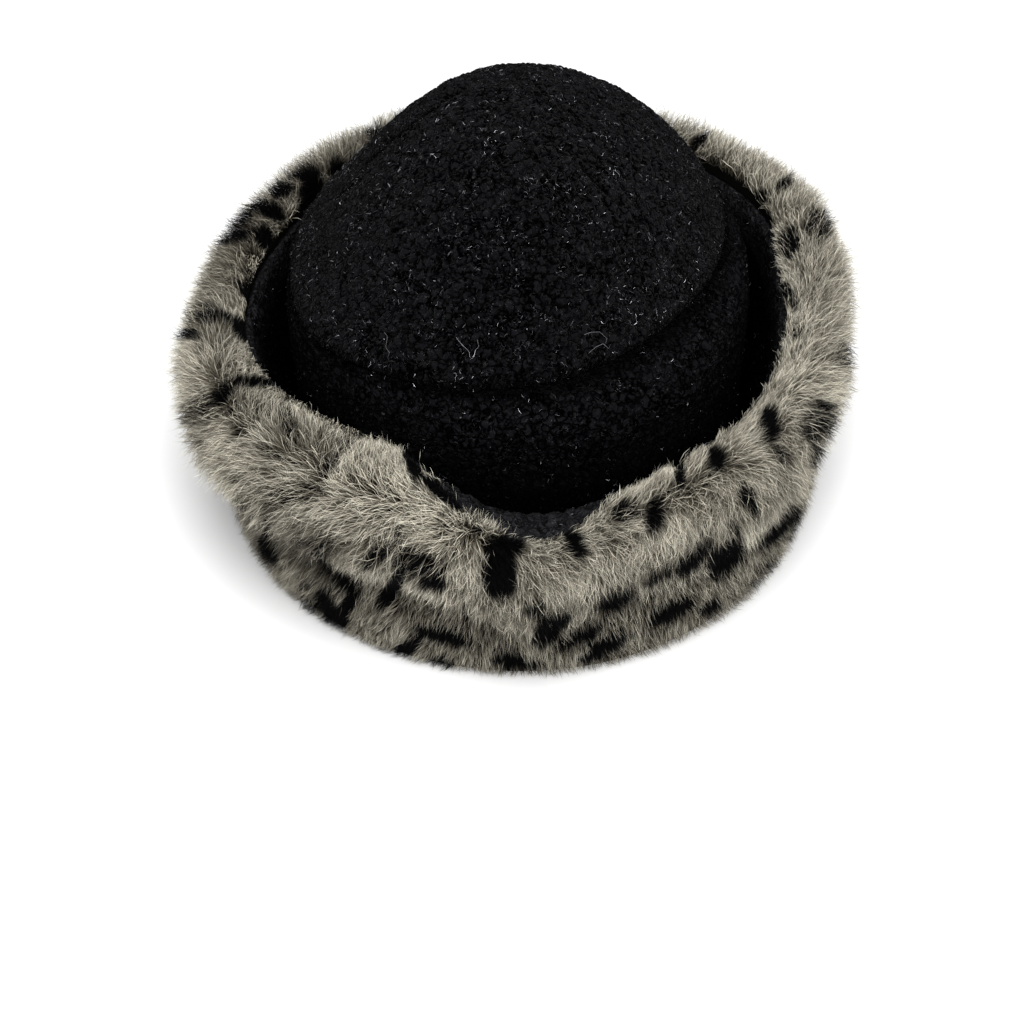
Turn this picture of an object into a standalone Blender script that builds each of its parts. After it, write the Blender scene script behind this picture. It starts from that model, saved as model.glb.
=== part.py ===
"""Cossack hat: a domed crown of boucle cloth inside a turned-up cuff of deep spotted fur.

Metres, +Z up. The wearer faces +Y and the wearer's right is +X. The origin is the middle of the hat's
box, on the surface that the hat rests on. Run it in Blender: it replaces the scene's objects.
"""
import math
import random
from collections.abc import Callable
from typing import NamedTuple

import bmesh
import bpy
from mathutils import Vector

HAT_NAME = "cossack_hat"

# Walls, and the clearance between pieces that touch on the real hat
BOUCLE_THICKNESS = 0.003
FACING_THICKNESS = 0.0025
SEAM_GAP = 0.0004
LAYER_GAP = 0.0009
CLOTH_EDGE_HEIGHT = 0.002

# Head opening, outside the crown band at its lower edge
OPENING_HALF_WIDTH = 0.0848
OPENING_HALF_LENGTH = 0.1010
OPENING_CENTRE = Vector((0.0, 0.004, 0.0))

# Crown: the dome's highest point, and the widest place of the band's soft roll
APEX = Vector((-0.002, 0.010, 0.167))
BULGE_HALF_WIDTH = 0.0862
BULGE_HALF_LENGTH = 0.0975
BULGE_BEYOND_SEAM = 0.0015

# Cuff facing: how its wall leans away from the band, and how far its edge turns over the rim
FACING_FLARE = 2.2
TURNOVER = 0.003
DIP_TURNOVER = 0.025
DIP_BEND = math.radians(105)
TURNOVER_STEPS = 3

# The dip in the rim at the centre back, where the facing rolls over it
DIP_ANGLE = 270.5
DIP_HALF_ANGLE = 18.5
DIP_DEPTH = 0.0145

# Fur: the tips' outline at the lower edge, how far the backing lies inside the tips, and how its locks lie
BASE_HALF_WIDTH = 0.1165
BASE_HALF_LENGTH = 0.1275
ROLL_DEPTH = 0.013
BAND_DEPTH = 0.007
LEAST_ROLL = 0.004
LOCK_LEAN = 0.8
LOCK_JITTER = 0.3
LOCK_SWAY = 0.003
LOCK_STAGGER = 0.5
LOCK_SEED = 11
DIP_SHORTENING = 0.55

# Facets round the hat
CLOTH_STATIONS = 56
FUR_STATIONS = 76


class Station(NamedTuple):
    """The hat's section in one compass direction, with radii from the middle of the head opening."""

    angle: float
    seam_radius: float
    seam_height: float
    rim_radius: float
    rim_height: float
    roll_radius: float
    fold_height: float


# Angles run anticlockwise seen from above: 0 is +X, 90 the front and 270 the back
STATIONS = (
    Station(0, 0.0760, 0.1085, 0.0975, 0.0820, 0.1300, 0.044),
    Station(30, 0.0790, 0.1110, 0.1055, 0.0830, 0.1385, 0.045),
    Station(60, 0.0810, 0.1130, 0.1080, 0.0835, 0.1310, 0.045),
    Station(90, 0.0810, 0.1130, 0.1090, 0.0830, 0.1300, 0.043),
    Station(120, 0.0800, 0.1120, 0.1060, 0.0825, 0.1275, 0.040),
    Station(150, 0.0810, 0.1080, 0.0975, 0.0810, 0.1255, 0.038),
    Station(180, 0.0850, 0.1030, 0.0995, 0.0800, 0.1305, 0.038),
    Station(210, 0.0900, 0.0970, 0.1060, 0.0820, 0.1415, 0.038),
    Station(240, 0.0860, 0.0970, 0.1040, 0.0810, 0.1450, 0.036),
    Station(270, 0.0815, 0.0985, 0.1110, 0.0780, 0.1430, 0.040),
    Station(300, 0.0745, 0.1010, 0.1120, 0.0760, 0.1400, 0.048),
    Station(330, 0.0730, 0.1050, 0.1040, 0.0790, 0.1320, 0.048),
)


class DomeRow(NamedTuple):
    """One ring of the crown tip: its share of the seam's radius, and of the climb to the apex."""

    spread: float
    rise: float


DOME_ROWS = (
    DomeRow(1.00, 0.00),
    DomeRow(1.00, 0.035),
    DomeRow(0.94, 0.15),
    DomeRow(0.85, 0.32),
    DomeRow(0.73, 0.51),
    DomeRow(0.58, 0.70),
    DomeRow(0.41, 0.86),
    DomeRow(0.23, 0.96),
    DomeRow(0.09, 0.995),
)


class BandRow(NamedTuple):
    """One ring of the crown band: shares of the height, of the swell and of the way in to the seam."""

    height: float
    swell: float
    tuck: float


BAND_ROWS = (
    BandRow(0.00, 0.0, 0.00),
    BandRow(0.22, 0.0, 0.00),
    BandRow(0.44, 0.1, 0.00),
    BandRow(0.62, 0.5, 0.00),
    BandRow(0.76, 0.9, 0.00),
    BandRow(0.86, 1.0, 0.04),
    BandRow(0.93, 1.0, 0.22),
    BandRow(0.97, 1.0, 0.55),
    BandRow(1.00, 1.0, 1.00),
)

# The facing's rings, as shares of the way up to the rim
FACING_ROWS = (0.0, 0.25, 0.5, 0.72, 0.88, 1.0)


class RollRow(NamedTuple):
    """One ring of the fur roll's backing: its share of the way out, its rise above the rim, its locks."""

    outward: float
    rise: float
    lock: float


ROLL_ROWS = (
    RollRow(0.06, 0.002, 0.004),
    RollRow(0.22, 0.005, 0.007),
    RollRow(0.44, 0.006, 0.011),
    RollRow(0.68, 0.002, 0.013),
    RollRow(0.90, -0.007, 0.013),
    RollRow(0.98, -0.019, 0.011),
    RollRow(0.92, -0.030, 0.008),
)


class SkirtRow(NamedTuple):
    """One ring of the fur band under the fold: its share of the height, its swell and its locks."""

    height: float
    swell: float
    lock: float


SKIRT_ROWS = (
    SkirtRow(1.00, 0.002, 0.006),
    SkirtRow(0.66, 0.004, 0.007),
    SkirtRow(0.33, 0.003, 0.007),
    SkirtRow(0.00, -0.002, 0.0),
)


class Finish(NamedTuple):
    """A material's plain look."""

    colour: tuple[float, float, float]
    roughness: float


FINISHES = {
    "crown_tip": Finish((0.016, 0.016, 0.018), 0.95),
    "crown_band": Finish((0.014, 0.014, 0.016), 0.95),
    "cuff_facing": Finish((0.010, 0.010, 0.012), 0.97),
    "fur_cuff": Finish((0.330, 0.300, 0.265), 0.80),
}

Ring = list[Vector]
Profile = list[Vector]


def around(angle: float, column: str) -> float:
    """Reads one column of the station table at any angle, on a smooth closed curve.

    Args:
        angle: Compass angle in degrees.
        column: The station's field.

    Returns:
        The value there.
    """
    place = (angle % 360.0) * len(STATIONS) / 360.0
    index = int(place)
    t = place - index
    before, start, end, after = (
        getattr(STATIONS[(index + shift) % len(STATIONS)], column) for shift in (-1, 0, 1, 2)
    )
    slope_in = (end - before) / 2
    slope_out = (after - start) / 2
    bend = 3 * (end - start) - 2 * slope_in - slope_out
    twist = slope_in + slope_out - 2 * (end - start)
    return start + t * (slope_in + t * (bend + t * twist))


def oval_radius(angle: float, half_width: float, half_length: float) -> float:
    """Gives an oval's radius in one direction."""
    turn = math.radians(angle)
    return 1 / math.hypot(math.cos(turn) / half_width, math.sin(turn) / half_length)


def mix(start: float, end: float, share: float) -> float:
    """Blends two values."""
    return start + (end - start) * share


def dip_share(angle: float) -> float:
    """Gives how deep in the rim's dip a direction is, from 0 outside it to 1 at its middle."""
    offset = (angle - DIP_ANGLE + 180) % 360 - 180
    return math.exp(-((offset / DIP_HALF_ANGLE) ** 2))


def station_angles(count: int, shift: float = 0.0) -> list[float]:
    """Lists evenly spaced angles, turned by a share of their step."""
    return [360 * (index + shift) / count for index in range(count)]


def placed(angle: float, point: Vector) -> Vector:
    """Turns a section's point, radius and height, into a place on the hat."""
    turn = math.radians(angle)
    return OPENING_CENTRE + Vector((point.x * math.cos(turn), point.x * math.sin(turn), point.y))


def angle_of(place: Vector) -> float:
    """Gives a place's compass angle in degrees, seen from the middle of the head opening."""
    return math.degrees(math.atan2(place.y - OPENING_CENTRE.y, place.x - OPENING_CENTRE.x))


def rings_of(profile: Callable[[float], Profile], count: int, stagger: float = 0.0) -> list[Ring]:
    """Sweeps a profile that changes with the angle into rings.

    Args:
        profile: A function that gives the section's points at an angle.
        count: Stations round the hat.
        stagger: How far every other ring is turned, as a share of a station's step.

    Returns:
        One ring for each point of the profile.
    """
    straight, turned = (
        [[placed(angle, point) for point in profile(angle)] for angle in station_angles(count, shift)]
        for shift in (0.0, stagger)
    )
    pairs = zip(zip(*straight), zip(*turned))
    return [list(odd if index % 2 else even) for index, (even, odd) in enumerate(pairs)]


def tip_rings() -> list[Ring]:
    """Lists the crown tip's rings, from its seam to just short of the apex."""
    rings = []
    for row in DOME_ROWS:
        shift = (APEX - OPENING_CENTRE).to_2d().to_3d() * row.rise
        ring = []
        for angle in station_angles(CLOTH_STATIONS):
            height = mix(around(angle, "seam_height") + SEAM_GAP, APEX.z, row.rise)
            place = placed(angle, Vector((around(angle, "seam_radius") * row.spread, height)))
            ring.append(place + shift)
        rings.append(ring)
    return rings


def band_profile(angle: float) -> Profile:
    """Gives the crown band's outer side, from its lower edge to the tip's seam."""
    opening = oval_radius(angle, OPENING_HALF_WIDTH, OPENING_HALF_LENGTH)
    seam = around(angle, "seam_radius")
    bulge = max(oval_radius(angle, BULGE_HALF_WIDTH, BULGE_HALF_LENGTH), seam + BULGE_BEYOND_SEAM)
    points = []
    for row in BAND_ROWS:
        radius = mix(mix(opening, bulge, row.swell), seam, row.tuck)
        points.append(Vector((radius, mix(CLOTH_EDGE_HEIGHT, around(angle, "seam_height"), row.height))))
    return points


def facing_profile(angle: float) -> Profile:
    """Gives the cuff facing's visible side, from its lower edge up to the rim and over it."""
    foot = oval_radius(angle, OPENING_HALF_WIDTH, OPENING_HALF_LENGTH) + LAYER_GAP
    rim = Vector((around(angle, "rim_radius"), around(angle, "rim_height") - DIP_DEPTH * dip_share(angle)))
    points = []
    for share in FACING_ROWS:
        height = mix(CLOTH_EDGE_HEIGHT, rim.y, share)
        points.append(Vector((mix(foot, rim.x, share**FACING_FLARE), height)))
    run = rim - points[-2]
    slope = math.atan2(run.y, run.x)
    step = mix(TURNOVER, DIP_TURNOVER, dip_share(angle)) / TURNOVER_STEPS
    for index in range(TURNOVER_STEPS):
        heading = slope - DIP_BEND * dip_share(angle) * (index + 0.5) / TURNOVER_STEPS
        points.append(points[-1] + step * Vector((math.cos(heading), math.sin(heading))))
    return points


def facing_back(angle: float) -> Profile:
    """Gives the fur backing's inner side: the facing's back, a layer's gap away."""
    front = facing_profile(angle)
    clearance = FACING_THICKNESS + LAYER_GAP
    runs = [(end - start).normalized() for start, end in zip(front, front[1:])]
    points = []
    for point, before, after in zip(front, runs[:1] + runs, runs + runs[-1:]):
        run = (before + after).normalized()
        away = Vector((run.y, -run.x)) / run.dot(before)
        points.append(point + clearance * away)
    points[0].y = 0.0
    points[-1] += LAYER_GAP * runs[-1]
    return points


def fur_front(angle: float) -> Profile:
    """Gives the fur backing's outer side, from the rim over the roll and the fold to the lower edge."""
    before, end = facing_profile(angle)[-2:]
    edge = end + 2 * LAYER_GAP * (end - before).normalized()
    roll = max(around(angle, "roll_radius") - ROLL_DEPTH, edge.x + LEAST_ROLL)
    base = oval_radius(angle, BASE_HALF_WIDTH, BASE_HALF_LENGTH) - BAND_DEPTH
    crest = mix(1.0, DIP_SHORTENING, dip_share(angle))
    points = []
    for row in ROLL_ROWS:
        rise = row.rise * crest if row.rise > 0 else row.rise
        points.append(Vector((mix(edge.x, roll, row.outward), edge.y + rise)))
    for row in SKIRT_ROWS:
        points.append(Vector((base + row.swell, around(angle, "fold_height") * row.height)))
    return points


def extrude_ring(mesh: bmesh.types.BMesh, ring: list, places: Ring) -> list:
    """Extrudes a closed ring of vertices to new places.

    Args:
        mesh: The mesh being made.
        ring: Its last ring of vertices, in order.
        places: Where the new ring's vertices go, in the same order.

    Returns:
        The new ring of vertices.
    """
    edges = [mesh.edges.get((ring[index - 1], ring[index])) for index in range(len(ring))]
    made = bmesh.ops.extrude_edge_only(mesh, edges=edges)["geom"]
    fresh = {vertex for vertex in made if isinstance(vertex, bmesh.types.BMVert)}
    following = []
    for vertex, place in zip(ring, places):
        grown = next(e.other_vert(vertex) for e in vertex.link_edges if e.other_vert(vertex) in fresh)
        grown.co = place
        following.append(grown)
    return following


def loft(mesh: bmesh.types.BMesh, rings: list[Ring]) -> list[list]:
    """Lofts an open surface through rings of equal count, and gives its rings of vertices."""
    first = bmesh.ops.create_circle(mesh, cap_ends=False, segments=len(rings[0]), radius=1.0)["verts"]
    for vertex, place in zip(first, rings[0]):
        vertex.co = place
    lofted = [first]
    for places in rings[1:]:
        lofted.append(extrude_ring(mesh, lofted[-1], places))
    return lofted


def turn_faces(mesh: bmesh.types.BMesh, ring: list, outward: bool) -> None:
    """Points all faces of a lofted surface away from the hat's middle, or towards it.

    Args:
        mesh: The lofted surface.
        ring: One of its rings of vertices, on a stretch that stands upright.
        outward: Whether the faces point away from the middle.
    """
    mesh.normal_update()
    face = ring[0].link_faces[0]
    away = face.calc_center_median() - OPENING_CENTRE
    away.z = 0.0
    if (face.normal.dot(away) > 0) != outward:
        bmesh.ops.reverse_faces(mesh, faces=mesh.faces)


def add_piece(name: str, mesh: bmesh.types.BMesh, parent: bpy.types.Object) -> bpy.types.Object:
    """Turns a finished mesh into a named object with its material.

    Args:
        name: The piece's name, also its material's.
        mesh: The mesh, which is freed.
        parent: The empty that carries the hat's pieces.

    Returns:
        The new object.
    """
    data = bpy.data.meshes.new(name)
    mesh.to_mesh(data)
    mesh.free()
    data.shade_smooth()
    finish = FINISHES[name]
    material = bpy.data.materials.new(name)
    material.use_nodes = True
    shader = material.node_tree.nodes["Principled BSDF"]
    shader.inputs["Base Color"].default_value = (*finish.colour, 1.0)
    shader.inputs["Roughness"].default_value = finish.roughness
    shader.inputs["Metallic"].default_value = 0.0
    data.materials.append(material)
    piece = bpy.data.objects.new(name, data)
    bpy.data.collections[HAT_NAME].objects.link(piece)
    piece.parent = parent
    return piece


def add_wall(piece: bpy.types.Object, thickness: float) -> None:
    """Gives an open surface its thickness, behind the side that its faces point to."""
    wall = piece.modifiers.new("wall", "SOLIDIFY")
    wall.thickness = thickness
    wall.offset = -1.0
    wall.use_even_offset = True


def build_tip(parent: bpy.types.Object) -> None:
    """Builds the domed top panel."""
    mesh = bmesh.new()
    lofted = loft(mesh, tip_rings())
    pole = extrude_ring(mesh, lofted[-1], [APEX] * CLOTH_STATIONS)
    bmesh.ops.pointmerge(mesh, verts=pole, merge_co=APEX)
    turn_faces(mesh, lofted[0], outward=True)
    add_wall(add_piece("crown_tip", mesh, parent), BOUCLE_THICKNESS)


def build_band(parent: bpy.types.Object) -> None:
    """Builds the side band with its soft roll under the seam."""
    mesh = bmesh.new()
    lofted = loft(mesh, rings_of(band_profile, CLOTH_STATIONS))
    turn_faces(mesh, lofted[0], outward=True)
    add_wall(add_piece("crown_band", mesh, parent), BOUCLE_THICKNESS)


def build_facing(parent: bpy.types.Object) -> None:
    """Builds the cuff's cloth inner side, whose faces point at the crown."""
    mesh = bmesh.new()
    lofted = loft(mesh, rings_of(facing_profile, CLOTH_STATIONS))
    turn_faces(mesh, lofted[0], outward=False)
    add_wall(add_piece("cuff_facing", mesh, parent), FACING_THICKNESS)


def grow_locks(
    mesh: bmesh.types.BMesh, upper: list, lower: list, length: float, chance: random.Random
) -> None:
    """Draws the faces between two rings out into locks that lean from the upper ring to the lower one.

    Args:
        mesh: The fur's closed body, with its faces pointing out.
        upper: The ring of vertices that the hair comes from.
        lower: The next ring in the direction that the hair lies in.
        length: How far a lock stands out.
        chance: The source of the locks' small differences.
    """
    above = set(upper)
    below = set(lower)
    faces = [face for face in mesh.faces if set(face.verts) <= above | below]
    tips = bmesh.ops.poke(mesh, faces=faces)["verts"]
    for tip in sorted(tips, key=lambda vertex: angle_of(vertex.co)):
        corners = [edge.other_vert(tip) for edge in tip.link_edges]
        start = sum((v.co for v in corners if v in above), Vector()) / 2
        end = sum((v.co for v in corners if v in below), Vector()) / 2
        lie = (end - start).normalized()
        out = sum((face.normal for face in tip.link_faces), Vector()).normalized()
        shortening = mix(1.0, DIP_SHORTENING, dip_share(angle_of(tip.co)))
        reach = length * shortening * (1 + LOCK_JITTER * chance.uniform(-1, 1))
        sway = LOCK_SWAY * shortening * chance.uniform(-1, 1)
        tip.co += reach * (out + LOCK_LEAN * lie) + sway * out.cross(lie)
        tip.co.z = max(tip.co.z, CLOTH_EDGE_HEIGHT)


def build_fur(parent: bpy.types.Object) -> None:
    """Builds the fur: a closed backing with its outer side drawn out into staggered locks."""
    inner = rings_of(facing_back, FUR_STATIONS)
    outer = rings_of(fur_front, FUR_STATIONS, LOCK_STAGGER)
    mesh = bmesh.new()
    lofted = loft(mesh, inner + outer)
    bmesh.ops.bridge_loops(mesh, edges=[edge for edge in mesh.edges if edge.is_boundary])
    bmesh.ops.recalc_face_normals(mesh, faces=mesh.faces)
    chance = random.Random(LOCK_SEED)
    front = lofted[len(inner):]
    for upper, lower, row in zip(front, front[1:], ROLL_ROWS + SKIRT_ROWS):
        grow_locks(mesh, upper, lower, row.lock, chance)
    add_piece("fur_cuff", mesh, parent)


def clear_scene() -> None:
    """Removes the objects that a new file starts with."""
    for item in list(bpy.data.objects):
        bpy.data.objects.remove(item, do_unlink=True)


def main() -> None:
    """Builds the hat in its own collection, under one empty."""
    clear_scene()
    collection = bpy.data.collections.new(HAT_NAME)
    bpy.context.scene.collection.children.link(collection)
    base = bpy.data.objects.new("hat_base", None)
    collection.objects.link(base)
    build_tip(base)
    build_band(base)
    build_facing(base)
    build_fur(base)


main()
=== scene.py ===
"""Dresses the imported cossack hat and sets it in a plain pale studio. Runs inside Blender.

Metres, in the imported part's own frame: +Z is up, the wearer faces +Y, and the picture looks along +Y and
down, at the back of the hat. Three pieces are black boucle cloth, and the fourth is a cuff of deep
spotted fur.
"""
import logging
import math
from dataclasses import dataclass
from enum import Enum
from itertools import product
from typing import Iterator, NamedTuple

import bmesh
import bpy
import numpy as np
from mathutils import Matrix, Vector
from mathutils.bvhtree import BVHTree


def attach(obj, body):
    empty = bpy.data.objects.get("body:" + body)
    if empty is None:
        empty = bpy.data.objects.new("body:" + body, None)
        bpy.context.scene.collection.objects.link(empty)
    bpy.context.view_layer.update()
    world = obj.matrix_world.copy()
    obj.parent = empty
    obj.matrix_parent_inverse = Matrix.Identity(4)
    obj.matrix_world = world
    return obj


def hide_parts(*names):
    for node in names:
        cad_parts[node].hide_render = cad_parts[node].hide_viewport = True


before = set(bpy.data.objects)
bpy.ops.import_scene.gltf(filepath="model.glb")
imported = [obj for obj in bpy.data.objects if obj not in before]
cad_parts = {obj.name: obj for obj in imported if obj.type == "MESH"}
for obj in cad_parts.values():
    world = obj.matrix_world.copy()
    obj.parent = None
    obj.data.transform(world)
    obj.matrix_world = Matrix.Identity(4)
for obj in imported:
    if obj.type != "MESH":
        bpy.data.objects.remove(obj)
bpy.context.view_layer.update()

logger = logging.getLogger("cossack_hat")

Row = np.ndarray
Values = np.ndarray
Places = np.ndarray

BODY = "root"
WELD = 2e-6
FAR = 1e3

# The bake's map: cells a side, each cell's empty margins, and how many looks it holds
MAP_CELLS = 8
MARGIN_ACROSS = 0.15
MARGIN_ALONG = 0.1
LOOKS = MAP_CELLS**2

# Steps that spread places evenly over two directions
EVEN_STEPS = (0.7548776662, 0.5698402910)


class Station(NamedTuple):
    """The hat's section in one compass direction, with radii from the middle of the head opening."""

    angle: float
    seam_radius: float
    seam_height: float
    rim_radius: float
    rim_height: float
    roll_radius: float
    fold_height: float


# Angles run anticlockwise seen from above: 0 is +X, 90 the front and 270 the back
STATIONS = (
    Station(0, 0.0760, 0.1085, 0.0975, 0.0820, 0.1300, 0.044),
    Station(30, 0.0790, 0.1110, 0.1055, 0.0830, 0.1385, 0.045),
    Station(60, 0.0810, 0.1130, 0.1080, 0.0835, 0.1310, 0.045),
    Station(90, 0.0810, 0.1130, 0.1090, 0.0830, 0.1300, 0.043),
    Station(120, 0.0800, 0.1120, 0.1060, 0.0825, 0.1275, 0.040),
    Station(150, 0.0810, 0.1080, 0.0975, 0.0810, 0.1255, 0.038),
    Station(180, 0.0850, 0.1030, 0.0995, 0.0800, 0.1305, 0.038),
    Station(210, 0.0900, 0.0970, 0.1060, 0.0820, 0.1415, 0.038),
    Station(240, 0.0860, 0.0970, 0.1040, 0.0810, 0.1450, 0.036),
    Station(270, 0.0815, 0.0985, 0.1110, 0.0780, 0.1430, 0.040),
    Station(300, 0.0745, 0.1010, 0.1120, 0.0760, 0.1400, 0.048),
    Station(330, 0.0730, 0.1050, 0.1040, 0.0790, 0.1320, 0.048),
)


def smooth_share(values: Values, start: float, end: float) -> Values:
    """Rises smoothly from 0 at start to 1 at end."""
    share = np.clip((values - start) / (end - start), 0.0, 1.0)
    return share * share * (3 - 2 * share)


def mix(start: Values, end: Values, share: Values) -> Values:
    """Blends two values."""
    return start + (end - start) * share


def curve(start: Values, end: Values, slope_in: Values, slope_out: Values, t: Values) -> Values:
    """Follows a smooth curve from start to end.

    Args:
        start: The value where t is 0.
        end: The value where t is 1.
        slope_in: The slope at the start.
        slope_out: The slope at the end.
        t: The share of the way.

    Returns:
        The value at each share.
    """
    bend = 3 * (end - start) - 2 * slope_in - slope_out
    twist = slope_in + slope_out - 2 * (end - start)
    return start + t * (slope_in + t * (bend + t * twist))


def unit(vectors: Places) -> Places:
    """Scales vectors to length one."""
    return vectors / np.maximum(np.linalg.norm(vectors, axis=-1, keepdims=True), 1e-12)


def scatter(cells: Places, seed: int) -> Places:
    """Gives each cell of a lattice three random shares of its own.

    Args:
        cells: The cells' whole-number places, one a row.
        seed: Tells one scatter from another.

    Returns:
        Three values from 0 to 1 for each cell.
    """
    key = cells @ np.array([127.1, 311.7, 74.7]) + 17.3 * seed
    waves = np.sin(key[:, None] * np.array([1.0, 1.37, 1.91])) * 43758.5453
    return waves - np.floor(waves)


def drift(places: Places, size: float, seed: int) -> Places:
    """Gives a smooth random vector at each place, each part from -1 to 1.

    Args:
        places: The places.
        size: About how far the vectors stay alike, in metres.
        seed: Tells one drift from another.

    Returns:
        One vector for each place.
    """
    scaled = places / size
    base = np.floor(scaled)
    share = scaled - base
    share = share * share * (3 - 2 * share)
    total = np.zeros_like(places)
    for corner in product((0.0, 1.0), repeat=3):
        step = np.array(corner)
        weight = np.prod(np.where(step > 0, share, 1 - share), axis=1)
        total += weight[:, None] * scatter(base + step, seed)
    return 2 * total - 1


class Tufts(NamedTuple):
    """How places gather round the seeds of an uneven lattice."""

    nearest: Values
    border: Values
    pull: Places


def gather(places: Places, size: float, seed: int) -> Tufts:
    """Finds each place's nearest seed in an uneven lattice.

    Args:
        places: The places.
        size: The lattice's cell, in metres.
        seed: Tells one lattice from another.

    Returns:
        The distance to the seed and the lead over the next one, in cells, and the way to the seed in metres.
    """
    scaled = places / size
    base = np.floor(scaled)
    first = np.full(len(places), 9.0)
    second = np.full(len(places), 9.0)
    pull = np.zeros_like(places)
    for corner in product((-1.0, 0.0, 1.0), repeat=3):
        cell = base + np.array(corner)
        way = cell + scatter(cell, seed) - scaled
        distance = np.linalg.norm(way, axis=1)
        closer = distance < first
        second = np.where(closer, first, np.minimum(second, distance))
        first = np.where(closer, distance, first)
        pull[closer] = way[closer]
    return Tufts(first, second - first, pull * size)


@dataclass(frozen=True)
class HatForm:
    """The hat's driving sizes, the same as in the part's own source."""

    opening_half_width: float = 0.0848
    opening_half_length: float = 0.1010
    opening_centre: tuple[float, float, float] = (0.0, 0.004, 0.0)
    apex: tuple[float, float, float] = (-0.002, 0.010, 0.167)
    edge_height: float = 0.002
    layer_gap: float = 0.0009
    dip_angle: float = 270.5
    dip_half_angle: float = 18.5

    def column(self, angles: Values, name: str) -> Values:
        """Reads one column of the station table at any angles, on a smooth closed curve.

        Args:
            angles: Compass angles in degrees.
            name: The station's field.

        Returns:
            The column's value at each angle.
        """
        table = np.array([getattr(station, name) for station in STATIONS])
        place = (angles % 360.0) * len(table) / 360.0
        index = np.floor(place).astype(int)
        t = place - index
        before, start, end, after = (table[(index + shift) % len(table)] for shift in (-1, 0, 1, 2))
        return curve(start, end, (end - before) / 2, (after - start) / 2, t)

    def oval(self, angles: Values, half_width: float, half_length: float) -> Values:
        """Gives an oval's radius in each direction."""
        turn = np.radians(angles)
        return 1 / np.hypot(np.cos(turn) / half_width, np.sin(turn) / half_length)

    def opening(self, angles: Values) -> Values:
        """Gives the radius of the head opening, outside the crown band."""
        return self.oval(angles, self.opening_half_width, self.opening_half_length)

    def dip(self, angles: Values) -> Values:
        """Gives how deep in the rim's dip each direction is, from 0 to 1."""
        offset = (angles - self.dip_angle + 180) % 360 - 180
        return np.exp(-((offset / self.dip_half_angle) ** 2))

    def placed(self, angles: Values, radius: Values, height: Values) -> Row:
        """Turns a section's radius and height at each angle into places on the hat.

        Args:
            angles: Compass angles in degrees.
            radius: The section's radius at each angle, in metres.
            height: Its height at each angle, in metres.

        Returns:
            One place for each angle.
        """
        turn = np.radians(angles)
        flat = np.stack([radius * np.cos(turn), radius * np.sin(turn), height + 0 * turn], axis=-1)
        return flat + np.array(self.opening_centre)


FORM = HatForm()


class Sweep:
    """A smooth surface through rows of places round the hat, each row at the same even angles."""

    def __init__(self, rows: list[Row]) -> None:
        """Keeps the rows.

        Args:
            rows: Rows of places, whose last place is the first again.
        """
        self.rows = np.array(rows)
        steps = np.linalg.norm(np.diff(self.rows, axis=0), axis=2).mean(axis=1)
        self.knots = np.concatenate([[0.0], np.cumsum(steps)])

    @property
    def length(self) -> float:
        """The section's mean length, in metres."""
        return float(self.knots[-1])

    def at(self, across: Values) -> np.ndarray:
        """Gives smooth rows at these distances along the section.

        Args:
            across: The distances, in metres.

        Returns:
            A row of places for each distance.
        """
        slopes = np.gradient(self.rows, self.knots, axis=0)
        index = np.clip(np.searchsorted(self.knots, across, side="right") - 1, 0, len(self.knots) - 2)
        span = np.diff(self.knots)[index][:, None, None]
        t = ((across - self.knots[index]) / np.diff(self.knots)[index])[:, None, None]
        start, end = self.rows[index], self.rows[index + 1]
        return curve(start, end, slopes[index] * span, slopes[index + 1] * span, t)


def ring_angles(count: int) -> Values:
    """Lists even angles once round the hat, with the first again at the end."""
    return np.linspace(0.0, 360.0, count + 1)


def facing_out(grid: np.ndarray, side: float) -> np.ndarray:
    """Gives the unit normals of a swept grid.

    Args:
        grid: Rows of places round the hat.
        side: 1 where a rising section's outer side shows, -1 for the other side.

    Returns:
        One normal for each place.
    """
    ring = grid[:, :-1]
    along = np.roll(ring, -1, axis=1) - np.roll(ring, 1, axis=1)
    across = np.gradient(ring, axis=0)
    normals = unit(np.cross(along, across)) * side
    return np.concatenate([normals, normals[:, :1]], axis=1)


class FlatGrid:
    """A flat grid of faces whose vertices are then laid on places."""

    def __init__(self, name: str, columns: int, rows: int) -> None:
        """Makes the grid and finds each vertex's column and row.

        Args:
            name: The mesh's name.
            columns: How many vertices lie across.
            rows: How many lie up.
        """
        self.made = bmesh.new()
        bmesh.ops.create_grid(self.made, x_segments=columns - 1, y_segments=rows - 1, size=0.5)
        self.mesh = bpy.data.meshes.new(name)
        self.made.to_mesh(self.mesh)
        flat = np.empty(len(self.mesh.vertices) * 3)
        self.mesh.vertices.foreach_get("co", flat)
        flat = flat.reshape(-1, 3)
        self.column = np.rint((flat[:, 0] + 0.5) * (columns - 1)).astype(int)
        self.row = np.rint((flat[:, 1] + 0.5) * (rows - 1)).astype(int)

    def lay(self, places: Places, marks: dict[str, Values]) -> None:
        """Lays the vertices on their places and keeps each one's marks as attributes.

        Args:
            places: One place for each vertex.
            marks: Values for each vertex, by the attribute's name.
        """
        self.mesh.vertices.foreach_set("co", places.ravel())
        for mark, values in marks.items():
            self.mesh.attributes.new(mark, "FLOAT", "POINT").data.foreach_set("value", values)

    def reopened(self) -> bmesh.types.BMesh:
        """Takes the laid mesh up again for cutting and welding.

        Returns:
            The mesh, open for editing.
        """
        self.made.clear()
        self.made.from_mesh(self.mesh)
        return self.made

    def finished(self) -> bpy.types.Mesh:
        """Writes the mesh down for good, smoothly shaded.

        Returns:
            The mesh.
        """
        self.made.to_mesh(self.mesh)
        self.made.free()
        self.mesh.shade_smooth()
        return self.mesh


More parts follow.
